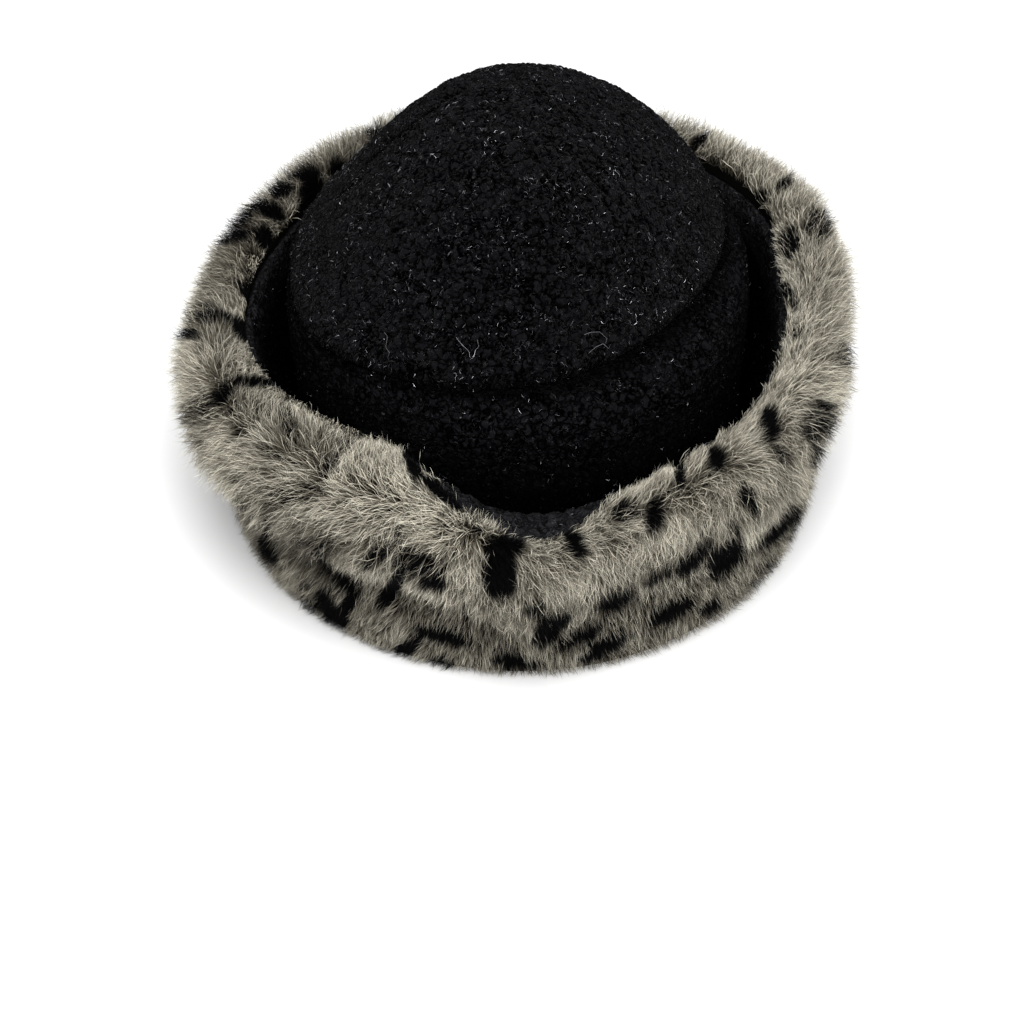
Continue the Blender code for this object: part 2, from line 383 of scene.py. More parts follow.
def grid_mesh(name: str, grid: np.ndarray, **marks: np.ndarray) -> bpy.types.Mesh:
    """Lays a flat grid of faces over a swept grid of places and welds its seam.

    Args:
        name: The mesh's name.
        grid: Rows of places round the hat.
        marks: Values for each place, kept on the mesh as attributes.

    Returns:
        The welded mesh, with its faces pointing out where it is closed.
    """
    rows, columns = grid.shape[:2]
    flat = FlatGrid(name, columns, rows)
    spread = {mark: values[flat.row, flat.column] for mark, values in marks.items()}
    flat.lay(grid[flat.row, flat.column], spread)
    made = flat.reopened()
    bmesh.ops.remove_doubles(made, verts=made.verts, dist=WELD)
    bmesh.ops.delete(made, geom=[edge for edge in made.edges if edge.is_wire], context="EDGES")
    bmesh.ops.recalc_face_normals(made, faces=made.faces)
    return flat.finished()


def add_object(data: bpy.types.ID) -> bpy.types.Object:
    """Adds an object of the same name for a mesh, light or camera.

    Args:
        data: The mesh, light or camera.

    Returns:
        The new object.
    """
    added = bpy.data.objects.new(data.name, data)
    bpy.context.scene.collection.objects.link(added)
    return added


def place_piece(mesh: bpy.types.Mesh, material: bpy.types.Material, replaces: str = "") -> None:
    """Adds a finished mesh to the scene as a piece of the hat.

    Args:
        mesh: The piece's mesh, whose name it takes.
        material: Its finish.
        replaces: The CAD node that it stands for, if any.
    """
    mesh.materials.append(material)
    piece = add_object(mesh)
    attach(piece, BODY)
    if replaces:
        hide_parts(replaces)
    logger.info("%s: %d faces", piece.name, len(mesh.polygons))


class Wire:
    """A shader socket that takes part in Python sums, each of which adds a Math node."""

    def __init__(self, nodes: "ShaderNodes", socket: bpy.types.NodeSocket) -> None:
        """Keeps the socket and the tree that it is in."""
        self.nodes = nodes
        self.socket = socket

    def _sum(self, operation: str, first: "Wire | float", second: "Wire | float") -> "Wire":
        """Adds one Math node."""
        return self.nodes.add("ShaderNodeMath", {"operation": operation}, {0: first, 1: second})

    def __add__(self, other: "Wire | float") -> "Wire":
        """Adds."""
        return self._sum("ADD", self, other)

    def __radd__(self, other: float) -> "Wire":
        """Adds to a number."""
        return self._sum("ADD", other, self)

    def __sub__(self, other: "Wire | float") -> "Wire":
        """Subtracts."""
        return self._sum("SUBTRACT", self, other)

    def __rsub__(self, other: float) -> "Wire":
        """Subtracts from a number."""
        return self._sum("SUBTRACT", other, self)

    def __mul__(self, other: "Wire | float") -> "Wire":
        """Multiplies."""
        return self._sum("MULTIPLY", self, other)

    def __rmul__(self, other: float) -> "Wire":
        """Multiplies a number."""
        return self._sum("MULTIPLY", other, self)


class ShaderNodes:
    """One material's nodes."""

    def __init__(self, name: str) -> None:
        """Makes the material and keeps its tree.

        Args:
            name: The material's name.
        """
        self.material = bpy.data.materials.new(name)
        self.material.use_nodes = True
        self.tree = self.material.node_tree
        self.shader = self.tree.nodes["Principled BSDF"]

    def add(self, kind: str, settings: dict, inputs: dict, output: int | str = 0) -> Wire:
        """Adds a node.

        Args:
            kind: The node's type.
            settings: Its properties, which are set first, and a ramp's stops under "stops".
            inputs: A value or Wire for each socket, by name or number.
            output: The socket that is wanted.

        Returns:
            The wanted output.
        """
        node = self.tree.nodes.new(kind)
        for key, value in settings.items():
            if key == "stops":
                self._set_stops(node.color_ramp, value)
            else:
                setattr(node, key, value)
        for key, value in inputs.items():
            self._feed(node.inputs[key], value)
        return Wire(self, node.outputs[output])

    def dress(self, **sockets: "Wire | float | tuple") -> None:
        """Sets or links the shader's own sockets, whose names have _ for a space."""
        for key, value in sockets.items():
            self._feed(self.shader.inputs[key.replace("_", " ")], value)

    def attribute(self, name: str) -> Wire:
        """Reads a value that the mesh carries."""
        return self.add("ShaderNodeAttribute", {"attribute_name": name}, {}, "Fac")

    def place(self) -> Wire:
        """Reads the piece's own coordinates."""
        return self.add("ShaderNodeTexCoord", {}, {}, "Object")

    def noise(self, scale: float, detail: float = 1.0, roughness: float = 0.5) -> Wire:
        """Adds noise on the piece's own coordinates."""
        values = {"Vector": self.place(), "Scale": scale, "Detail": detail, "Roughness": roughness}
        return self.add("ShaderNodeTexNoise", {}, values)

    def wandering(self, reach: float, scale: float) -> Wire:
        """Gives the piece's own coordinates, moved a little by noise.

        Args:
            reach: How far they may move, in metres.
            scale: The noise's scale.

        Returns:
            The moved coordinates.
        """
        place = self.place()
        noise = self.add("ShaderNodeTexNoise", {}, {"Vector": place, "Scale": scale, "Detail": 1.0}, "Color")
        centred = self.vector_sum("SUBTRACT", {0: noise, 1: (0.5, 0.5, 0.5)})
        moved = self.vector_sum("SCALE", {0: centred, "Scale": 2 * reach})
        return self.vector_sum("ADD", {0: place, 1: moved})

    def vector_sum(self, operation: str, inputs: dict) -> Wire:
        """Adds a Vector Math node."""
        return self.add("ShaderNodeVectorMath", {"operation": operation}, inputs)

    def cells(self, place: Wire, scale: float, feature: str) -> Wire:
        """Adds a pattern of uneven cells."""
        values = {"Vector": place, "Scale": scale}
        return self.add("ShaderNodeTexVoronoi", {"feature": feature}, values, "Distance")

    def bump(self, strength: float, reach: float, height: Wire) -> Wire:
        """Turns a height into a bumpy normal."""
        return self.add("ShaderNodeBump", {}, {"Strength": strength, "Distance": reach, "Height": height})

    def clamp(self, value: Wire) -> Wire:
        """Keeps a value between 0 and 1."""
        return self.add("ShaderNodeClamp", {}, {"Value": value})

    def blend(self, start: "Wire | tuple", end: "Wire | tuple", share: "Wire | float") -> Wire:
        """Mixes two colours."""
        settings = {"data_type": "RGBA", "clamp_factor": True}
        return self.add("ShaderNodeMix", settings, {0: share, 6: start, 7: end}, 2)

    def _feed(self, socket: bpy.types.NodeSocket, value: "Wire | float | tuple") -> None:
        """Links a socket or sets its own value.

        Args:
            socket: The socket.
            value: A Wire, or the socket's own value.
        """
        if isinstance(value, Wire):
            self.tree.links.new(value.socket, socket)
        elif isinstance(value, tuple) and socket.type == "RGBA":
            socket.default_value = (*value[:3], 1.0)
        else:
            socket.default_value = value

    def _set_stops(self, ramp: bpy.types.ColorRamp, stops: list[tuple[float, tuple]]) -> None:
        """Replaces a ramp's stops.

        Args:
            ramp: The ramp.
            stops: Each stop's share of the ramp and its colour.
        """
        while len(ramp.elements) < len(stops):
            ramp.elements.new(0.5)
        for element, (place, colour) in zip(ramp.elements, stops):
            element.position = place
            element.color = (*colour, 1.0)


@dataclass(frozen=True)
class BoucleFinish:
    """Black boucle wool: soft nubs, with painted shade in the hollows and pits between them and on the nubs'
    low flanks.
    """

    name: str = "black_boucle"
    # Painted shade: the near-black colour of the pits and the nubs' low flanks, against the nub colour of
    # their lit tops.
    hollow: tuple[float, float, float] = (0.0002, 0.0002, 0.0003)
    nub: tuple[float, float, float] = (0.0073, 0.0073, 0.0084)
    thread: tuple[float, float, float] = (0.070, 0.070, 0.078)
    yarn_scale: float = 2600.0
    loop_scale: float = 640.0
    pit_scale: float = 300.0
    patch_scale: float = 130.0
    thread_scale: float = 560.0
    wander: float = 0.0024
    wander_scale: float = 420.0
    loop_top: float = 1.15
    loop_fall: float = 1.4
    patch_bite: float = 0.22
    pit_fill: float = 0.09
    pit_steepness: float = 5.0
    between_loops: float = 0.42
    brightness: float = 2.2
    least_yarn: float = 0.5
    thread_thinness: float = 6000.0
    thread_rarity: float = 0.54
    thread_steepness: float = 12.0
    relief: float = 0.0012
    yarn_relief: float = 0.35
    sheen: float = 0.004
    filling: float = 0.0

    def material(self) -> bpy.types.Material:
        """Makes the material, which reads each place's height on its nub, darkened by the panel's painted
        shade, and paints shade into the pits and the nubs' low flanks.

        Returns:
            The material.
        """
        nodes = ShaderNodes(self.name)
        height = nodes.attribute("nub")
        yarn = nodes.noise(self.yarn_scale, detail=2.0, roughness=0.7)
        patch = nodes.noise(self.patch_scale)
        place = nodes.wandering(self.wander, self.wander_scale)
        loops = nodes.clamp(self.loop_top - self.loop_fall * nodes.cells(place, self.loop_scale, "F1"))
        pits = nodes.cells(place, self.pit_scale, "DISTANCE_TO_EDGE")
        filled = pits - self.patch_bite * patch + self.pit_fill
        whole = nodes.clamp(filled * self.pit_steepness + self.filling)
        curl = whole * (self.between_loops + (1 - self.between_loops) * loops)
        # Painted shade: lit blends from the near-black hollow colour in pits and on low flanks to the nub
        # colour on lit tops, and carries the panel's painted shade.
        lit = nodes.clamp(curl * (self.brightness * height) * (self.least_yarn + yarn))
        bend = nodes.noise(self.thread_scale) - 0.5
        threads = nodes.clamp(1 - self.thread_thinness * bend * bend)
        rare = (nodes.noise(0.6 * self.thread_scale) - self.thread_rarity) * self.thread_steepness
        threads = threads * nodes.clamp(rare) * height
        cloth = nodes.blend(self.hollow, self.nub, lit)
        bump = nodes.bump(1.0, self.relief, yarn * self.yarn_relief + curl)
        nodes.dress(Base_Color=nodes.blend(cloth, self.thread, threads), Roughness=1.0, Normal=bump)
        nodes.dress(Specular_IOR_Level=0.0, Sheen_Weight=self.sheen, Sheen_Roughness=0.3)
        return nodes.material


@dataclass(frozen=True)
class TinselFinish:
    """Short curls of silver tinsel."""

    name: str = "silver_tinsel"
    shaded: tuple[float, float, float] = (0.02, 0.02, 0.024)
    colour: tuple[float, float, float] = (0.46, 0.46, 0.50)

    def material(self) -> bpy.types.Material:
        """Makes the material, which a fleck's own tone darkens.

        Returns:
            The material.
        """
        nodes = ShaderNodes(self.name)
        colour = nodes.blend(self.shaded, self.colour, nodes.attribute("tone"))
        nodes.dress(Base_Color=colour, Metallic=0.8, Roughness=0.42)
        return nodes.material


@dataclass(frozen=True)
class LintFinish:
    """The boucle's fine dark fuzz."""

    name: str = "black_lint"
    dark: tuple[float, float, float] = (0.003, 0.003, 0.004)
    light: tuple[float, float, float] = (0.018, 0.018, 0.020)

    def material(self) -> bpy.types.Material:
        """Makes the material.

        Returns:
            The material.
        """
        nodes = ShaderNodes(self.name)
        colour = nodes.blend(self.dark, self.light, nodes.attribute("tone"))
        nodes.dress(Base_Color=colour, Roughness=0.9, Specular_IOR_Level=0.05)
        return nodes.material


@dataclass(frozen=True)
class FurFinish:
    """Fur hairs, from dark roots to pale tips, or black where the pelt has a spot."""

    name: str = "spotted_fur"
    root: tuple[float, float, float] = (0.020, 0.017, 0.012)
    middle: tuple[float, float, float] = (0.175, 0.157, 0.120)
    tip: tuple[float, float, float] = (0.95, 0.90, 0.745)
    brown: tuple[float, float, float] = (0.045, 0.037, 0.027)
    black: tuple[float, float, float] = (0.0006, 0.0006, 0.0008)
    black_tip: tuple[float, float, float] = (0.0022, 0.0022, 0.0026)
    middle_at: float = 0.45
    tip_at: float = 0.94
    least_tone: float = 0.10
    tone_gain: float = 1.1
    shine: float = 0.2

    def material(self) -> bpy.types.Material:
        """Makes the material, which reads a hair's ink and tone and the way along it.

        Returns:
            The material.
        """
        nodes = ShaderNodes(self.name)
        along, ink = nodes.attribute("along"), nodes.attribute("ink")
        stops = [(0.0, self.root), (self.middle_at, self.middle), (self.tip_at, self.tip)]
        pale = nodes.add("ShaderNodeValToRGB", {"stops": stops}, {"Fac": along})
        # The tone holds the fur's own tone and the painted light and shade of the charted patches.
        shaded = nodes.blend(self.brown, pale, self.least_tone + self.tone_gain * nodes.attribute("tone"))
        dark = nodes.blend(self.black, self.black_tip, along)
        nodes.dress(Base_Color=nodes.blend(shaded, dark, ink), Coat_Weight=self.shine * (1 - ink))
        nodes.dress(Roughness=0.7, Specular_IOR_Level=0.03, Coat_Roughness=0.45)
        return nodes.material


@dataclass(frozen=True)
class HideFinish:
    """The fur's woven backing and underfur, dark between the hairs."""

    name: str = "dark_underfur"
    dark: tuple[float, float, float] = (0.0008, 0.0008, 0.0008)
    light: tuple[float, float, float] = (0.0045, 0.0040, 0.0034)
    speckle_scale: float = 1400.0
    relief: float = 0.0006

    def material(self) -> bpy.types.Material:
        """Makes the material.

        Returns:
            The material.
        """
        nodes = ShaderNodes(self.name)
        speckle = nodes.noise(self.speckle_scale, detail=3.0, roughness=0.7)
        colour = nodes.blend(self.dark, self.light, speckle * (1 - nodes.attribute("ink")))
        bump = nodes.bump(0.7, self.relief, speckle)
        nodes.dress(Base_Color=colour, Roughness=0.95, Specular_IOR_Level=0.02, Normal=bump)
        return nodes.material


@dataclass(frozen=True)
class FloorFinish:
    """A plain pale floor."""

    name: str = "pale_floor"
    colour: tuple[float, float, float] = (0.90, 0.90, 0.90)

    def material(self) -> bpy.types.Material:
        """Makes the material.

        Returns:
            The material.
        """
        nodes = ShaderNodes(self.name)
        nodes.dress(Base_Color=self.colour, Roughness=0.8, Specular_IOR_Level=0.1)
        return nodes.material


@dataclass(frozen=True)
class Viewpoint:
    """The photograph's camera: how it stands to the hat, and where it sees the hat's base."""

    elevation: float = math.radians(40.0)
    distance: float = 1.0
    focal_pixels: float = 2500.0
    base_pixel_x: float = 520.0
    base_pixel_y: float = 468.0
    frame_pixels: float = 1024.0
    sensor: float = 36.0

    def axes(self) -> tuple[Places, Places, Places]:
        """Gives the camera's right, up and forward directions."""
        rise, run = math.sin(self.elevation), math.cos(self.elevation)
        return np.array([1.0, 0.0, 0.0]), np.array([0.0, rise, run]), np.array([0.0, run, -rise])

    def eye(self) -> Places:
        """Gives the camera's place.

        Returns:
            The camera's place.
        """
        right, up, forward = self.axes()
        aside = (self.base_pixel_x - self.frame_pixels / 2) / self.focal_pixels
        above = (self.frame_pixels / 2 - self.base_pixel_y) / self.focal_pixels
        return -self.distance * (aside * right + above * up + forward)

    def pixels(self, places: Places) -> Places:
        """Gives the pixels of the photograph that show places.

        Args:
            places: The places.

        Returns:
            Each place's pixel, across and down.
        """
        right, up, forward = self.axes()
        offset = places - self.eye()
        across = np.stack([offset @ right, -(offset @ up)], axis=-1)
        return self.frame_pixels / 2 + self.focal_pixels * across / (offset @ forward)[..., None]

    def faced(self, places: Places, normals: Places) -> Values:
        """Gives how far each place's side faces the camera: the cosine of the angle between them."""
        return np.sum(unit(self.eye() - places) * normals, axis=-1)

    def build(self) -> None:
        """Adds the camera and makes it the scene's own."""
        camera = bpy.data.cameras.new("picture_camera")
        camera.sensor_width = self.sensor
        camera.lens = self.focal_pixels * self.sensor / self.frame_pixels
        camera.clip_end = 50.0
        holder = add_object(camera)
        holder.location = self.eye()
        holder.rotation_euler = (math.pi / 2 - self.elevation, 0.0, 0.0)
        bpy.context.scene.camera = holder


@dataclass(frozen=True)
class Nubs:
    """Boucle's curled nubs: their size, how far they stand out, and the finer curls on them."""

    size: float = 0.0030
    height: float = 0.0016
    curl_size: float = 0.0015
    curl_share: float = 0.25
    wander: float = 0.0013
    wander_size: float = 0.004
    stretch: float = 0.72
    patch_size: float = 0.009
    patch_depth: float = 0.25
    patch_mean: float = 0.85
    plumpness: float = 1.1
    reach: float = 0.80
    border: float = 0.34
    roundness: float = 0.6

    def relief(self, places: Places) -> Values:
        """Gives the height on its nub, from 0 in a hollow to 1 on top, at each place.

        Args:
            places: The places.

        Returns:
            A value from 0 to 1 for each place.
        """
        moved = places + self.wander * drift(places, self.wander_size, 3)
        moved = moved * np.array([1.0, 1.0, self.stretch])
        nub = gather(moved, self.size, 5)
        curl = gather(moved, self.curl_size, 7)
        low = drift(places, self.patch_size, 9)[:, 0] * self.patch_depth + self.patch_mean
        main = np.clip(self.plumpness - (nub.nearest / self.reach) ** 2, 0, 1)
        main = main * smooth_share(nub.border, 0.0, self.border)
        fine = np.clip(1 - (curl.nearest / self.reach) ** 2, 0, 1)
        return np.clip(mix(main**self.roundness * low, fine, self.curl_share), 0, 1)


class Side(Enum):
    """Which side of a section that is listed upwards shows."""

    OUTER = 1.0
    INNER = -1.0


class Shade(NamedTuple):
    """How much light a cloth gets at a share of the way up its section."""

    share: float
    light: float


class Cloth(NamedTuple):
    """A cloth's visible side: its places with their nubs, their normals and the height on the nub, darkened
    by painted shade in the trough, at the seams and in the crease.
    """

    places: np.ndarray
    normals: np.ndarray
    nub: np.ndarray


@dataclass
class BouclePanel:
    """A panel of boucle cloth with a wall behind its visible side.

    Subclasses list the panel's section.
    """

    name: str = "panel"
    node: str = ""
    thickness: float = 0.003
    columns: int = 440
    rows: int = 56
    back_rows: int = 8
    crowding: float = 1.0
    dip_crowding: float = 0.0
    side: Side = Side.OUTER
    # Painted shade: the band's colour is dark low down in the trough and at the seam, and lit on its roll.
    shades: tuple[Shade, ...] = (
        Shade(0, 0.01),
        Shade(0.58, 0.02),
        Shade(0.79, 0.75),
        Shade(0.91, 1),
        Shade(0.965, 0.12),
        Shade(1, 0.02),
    )
    # Painted shade darkens the colour along the pressed fold's crease.
    crease_shade: float = 0.95
    crease_start: float = 0.0009
    crease_end: float = 0.0023
    mean_nub: float = 0.6
    # Painted shade: a hollow between nubs keeps this share of a nub top's light in the colour.
    hollow_light: float = 0.30
    flecks: int = 2600
    lint: int = 3000
    nubs: Nubs = Nubs()

    def section(self, angles: Values) -> list[Row]:
        """Lists the visible side's rows, from the bottom up."""
        raise NotImplementedError

    def folds(self, smooth: np.ndarray, normals: np.ndarray) -> np.ndarray:
        """Gives how far soft folds lift each place along its normal."""
        return np.zeros(smooth.shape[:2])

    def angles(self) -> Values:
        """Lists the columns' angles, closer together at the dip where that is asked for."""
        even = ring_angles(self.columns)
        return even - np.degrees(self.dip_crowding * np.sin(np.radians(even - FORM.dip_angle)))

    def visible(self) -> Cloth:
        """Works out the visible side with its nubs and the painted shade on its colour.

        Returns:
            The visible side.
        """
        sweep = Sweep(self.section(self.angles()))
        across = sweep.length * np.linspace(0.0, 1.0, self.rows) ** self.crowding
        smooth = sweep.at(across)
        normals = facing_out(smooth, self.side.value)
        normals[np.linalg.norm(normals, axis=2) < 0.5] = (0.0, 0.0, 1.0)
        nub = self.nubs.relief(smooth.reshape(-1, 3)).reshape(smooth.shape[:2])
        nub[:, -1] = nub[:, 0]
        fold = self.folds(smooth, normals)
        lift = self.nubs.height * (nub - self.mean_nub) + fold
        self.smooth = smooth
        # Painted shade: the rows' shades, the crease and the hollows between nubs darken the nub value that
        # the colour reads.
        shades = np.array(self.shades)
        light = np.interp(across / sweep.length, shades[:, 0], shades[:, 1])[:, None]
        light = light * (1 - self.crease_shade * smooth_share(-fold, self.crease_start, self.crease_end))
        nub = (self.hollow_light + (1 - self.hollow_light) * nub) * light
        return Cloth(smooth + lift[:, :, None] * normals, normals, nub)

    def build(self, finish: bpy.types.Material) -> Cloth:
        """Builds the panel as a closed wall.

        Args:
            finish: The cloth's material.

        Returns:
            Its visible side, for what is scattered on it.
        """
        cloth = self.visible()
        chosen = np.unique(np.linspace(0, self.rows - 1, self.back_rows).astype(int))[::-1]
        back = self.smooth[chosen] - self.thickness * cloth.normals[chosen]
        grid = np.concatenate([cloth.places, back, cloth.places[:1]])
        nub = np.concatenate([cloth.nub, np.full(back.shape[:2], self.hollow_light), cloth.nub[:1]])
        place_piece(grid_mesh(self.name, grid, nub=nub), finish, self.node)
        return cloth


class DomeRow(NamedTuple):
    """One ring of the crown tip: its share of the seam's radius, and of the climb to the apex."""

    spread: float
    rise: float


DOME_ROWS = (
    DomeRow(1.00, 0.00),
    DomeRow(1.00, 0.035),
    DomeRow(0.94, 0.15),
    DomeRow(0.85, 0.32),
    DomeRow(0.73, 0.51),
    DomeRow(0.58, 0.70),
    DomeRow(0.41, 0.86),
    DomeRow(0.23, 0.96),
    DomeRow(0.09, 0.995),
    DomeRow(0.00, 1.0),
)


class Mark(NamedTuple):
    """A place charted on the photograph, in its pixels."""

    x: float
    y: float


def read_rows(kind: type, rows: tuple) -> list:
    """Reads rows of numbers as marks of one kind."""
    return [kind(*row) for row in rows]


# The soft fold that runs up the crown's left side
CROWN_FOLD = read_rows(Mark, (
    (318, 211), (325, 204), (333, 196), (344, 186), (354, 175), (361, 164), (370, 155), (380, 146),
    (390, 138), (400, 130), (410, 122), (420, 113), (430, 106), (441, 99), (450, 92), (460, 87),
    (472, 82), (486, 79),
))


def surface_tree(grid: np.ndarray, most_rows: int = 60, most_columns: int = 120) -> BVHTree:
    """Makes a tree that rays can be cast at, from a swept grid, thinned to about these counts.

    Args:
        grid: Rows of places round the hat.
        most_rows: About how many rows it keeps.
        most_columns: About how many columns it keeps.

    Returns:
        The tree.
    """
    rows, columns = grid.shape[:2]
    coarse = grid[:: max(1, rows // most_rows), :: max(1, columns // most_columns)]
    high, wide = coarse.shape[:2]
    corner = np.arange(high * wide).reshape(high, wide)
    faces = np.stack([corner[:-1, :-1], corner[:-1, 1:], corner[1:, 1:], corner[1:, :-1]], axis=-1)
    return BVHTree.FromPolygons(coarse.reshape(-1, 3).tolist(), faces.reshape(-1, 4).tolist())


@dataclass
class CrownTip(BouclePanel):
    """The domed top panel, sewn down to the band. Its soft slump isn't in the solid that it replaces."""

    view: Viewpoint = Viewpoint()
    name: str = "tip_boucle"
    node: str = "crown_tip"
    seam_gap: float = 0.0002
    seam_turn: float = 0.0018
    columns: int = 520
    rows: int = 104
    flecks: int = 5200
    lint: int = 4200
    slump: float = 0.0038
    fold_depth: float = 0.0030
    fold_breadth: float = 3.4
    fold_start: float = 0.15
    fold_end: float = 0.82
    # Painted shade: the dome's colour darkens along the seam where its edge turns in.
    shades: tuple[Shade, ...] = (Shade(0, 0.02), Shade(0.022, 0.05), Shade(0.045, 0.7), Shade(0.07, 1))

    def section(self, angles: Values) -> list[Row]:
        """Lists the dome's rows, from its turned-in edge at the seam to the apex.

        Args:
            angles: Compass angles in degrees.

        Returns:
            Rows of places, with one for each angle.
        """
        apex, centre = np.array(FORM.apex), np.array(FORM.opening_centre)
        height = FORM.column(angles, "seam_height") + self.seam_gap
        radius = FORM.column(angles, "seam_radius")
        rows = [FORM.placed(angles, radius - self.seam_turn, height - 0.4 * self.seam_turn)]
        for row in DOME_ROWS:
            shift = np.array([*(apex - centre)[:2], 0.0]) * row.rise
            shift[0] += self.slump * math.sin(math.pi * row.rise)
            rows.append(FORM.placed(angles, radius * row.spread, mix(height, apex[2], row.rise)) + shift)
        return rows

    def folds(self, smooth: np.ndarray, normals: np.ndarray) -> np.ndarray:
        """Presses in the charted fold, just inside the dome's outline.

        Args:
            smooth: The panel's places, before folds and nubs.
            normals: The normals there.

        Returns:
            The lift at each place, in metres.
        """
        pixels = self.view.pixels(smooth)
        nearest = np.full(pixels.shape[:2], FAR)
        share = np.zeros(pixels.shape[:2])
        marks = np.array(CROWN_FOLD)
        for index, (start, end) in enumerate(zip(marks, marks[1:])):
            run = end - start
            way = np.clip((pixels - start) @ run / (run @ run), 0, 1)
            distance = np.linalg.norm(pixels - start - way[:, :, None] * run, axis=2)
            share = np.where(distance < nearest, (index + way) / (len(marks) - 1), share)
            nearest = np.minimum(nearest, distance)
        strength = smooth_share(share, 0.0, self.fold_start) * (1 - smooth_share(share, self.fold_end, 1.0))
        strength *= smooth_share(self.view.faced(smooth, normals), -0.02, 0.08)
        return -strength * self.fold_depth * np.exp(-((nearest / self.fold_breadth) ** 2))


# Pale fibres that lie loose on the crown: half-width, lift and tone, then each one's marks, end to end
FIBRE_HALF_WIDTH = 0.000045
FIBRE_LIFT = 0.0007
FIBRE_TONE = 0.55
LOOSE_FIBRES = (
    (Mark(477, 340), Mark(479, 346), Mark(475, 351), Mark(474, 357), Mark(470, 361)),
    (Mark(457, 339), Mark(462, 345), Mark(467, 348), Mark(470, 354), Mark(471, 359)),
    (Mark(583, 336), Mark(591, 331), Mark(600, 333), Mark(606, 340), Mark(603, 350)),
    (Mark(588, 352), Mark(595, 346), Mark(603, 345), Mark(608, 350), Mark(612, 344)),
    (Mark(384, 331), Mark(387, 338), Mark(386, 346), Mark(390, 353), Mark(388, 360)),
)


class BandRow(NamedTuple):
    """One ring of the crown band: shares of the height, of the swell and of the way in to the seam."""

    height: float
    swell: float
    tuck: float


BAND_ROWS = (
    BandRow(0.00, 0.0, 0.00),
    BandRow(0.22, 0.0, 0.00),
    BandRow(0.44, 0.1, 0.00),
    BandRow(0.62, 0.5, 0.00),
    BandRow(0.76, 0.9, 0.00),
    BandRow(0.86, 1.0, 0.04),
    BandRow(0.93, 1.0, 0.22),
    BandRow(0.97, 1.0, 0.55),
    BandRow(1.00, 1.0, 1.00),
)


@dataclass
class CrownBand(BouclePanel):
    """The side band, with its soft roll under the seam."""

    name: str = "band_boucle"
    node: str = "crown_band"
    bulge_half_width: float = 0.0862
    bulge_half_length: float = 0.0975
    bulge_beyond_seam: float = 0.0015
    seam_turn: float = 0.0024
    rows: int = 56
    crowding: float = 0.72

    def section(self, angles: Values) -> list[Row]:
        """Lists the band's rows, from its lower edge to the seam.

        Args:
            angles: Compass angles in degrees.

        Returns:
            Rows of places, with one for each angle.
        """
        opening = FORM.opening(angles)
        seam = FORM.column(angles, "seam_radius")
        bulge = FORM.oval(angles, self.bulge_half_width, self.bulge_half_length)
        bulge = np.maximum(bulge, seam + self.bulge_beyond_seam)
        top = FORM.column(angles, "seam_height")
        rows = []
        for row in BAND_ROWS:
            radius = mix(mix(opening, bulge, row.swell), seam, row.tuck)
            rows.append(FORM.placed(angles, radius, mix(FORM.edge_height, top, row.height)))
        rows.append(FORM.placed(angles, seam - self.seam_turn, top - 0.3 * self.seam_turn))
        return rows


@dataclass
class CuffFacing(BouclePanel):
    """The cuff's cloth inner side, which rolls over the rim in the dip at the back."""

    name: str = "facing_boucle"
    node: str = "cuff_facing"
    thickness: float = 0.0025
    flare: float = 2.2
    turnover: float = 0.003
    dip_turnover: float = 0.025
    dip_bend: float = math.radians(105)
    turnover_steps: int = 3
    dip_depth: float = 0.0145
    rows: int = 48
    crowding: float = 0.6
    dip_crowding: float = 0.42
    side: Side = Side.INNER
    # Painted shade: the facing's colour is dark down in the trough and lit on the lip that turns over the
    # rim.
    shades: tuple[Shade, ...] = (Shade(0, 0.01), Shade(0.80, 0.02), Shade(0.90, 0.4), Shade(0.94, 1))
    flecks: int = 900
    lint: int = 2500

    def profile(self, angles: Values) -> tuple[list[Values], list[Values]]:
        """Lists the radii and heights of the facing's rows, from its lower edge over the rim.

        Args:
            angles: Compass angles in degrees.

        Returns:
            The rows' radii and their heights.
        """
        dip = FORM.dip(angles)
        foot = FORM.opening(angles) + FORM.layer_gap
        rim_radius = FORM.column(angles, "rim_radius")
        rim_height = FORM.column(angles, "rim_height") - self.dip_depth * dip
        radii, heights = [], []
        for share in (0.0, 0.25, 0.5, 0.72, 0.88, 1.0):
            radii.append(mix(foot, rim_radius, share**self.flare))
            heights.append(mix(FORM.edge_height, rim_height, share))
        slope = np.arctan2(heights[-1] - heights[-2], radii[-1] - radii[-2])
        step = mix(self.turnover, self.dip_turnover, dip) / self.turnover_steps
        for index in range(self.turnover_steps):
            heading = slope - self.dip_bend * dip * (index + 0.5) / self.turnover_steps
            radii.append(radii[-1] + step * np.cos(heading))
            heights.append(heights[-1] + step * np.sin(heading))
        return radii, heights

    def section(self, angles: Values) -> list[Row]:
        """Lists the facing's rows."""
        return [FORM.placed(angles, radius, height) for radius, height in zip(*self.profile(angles))]


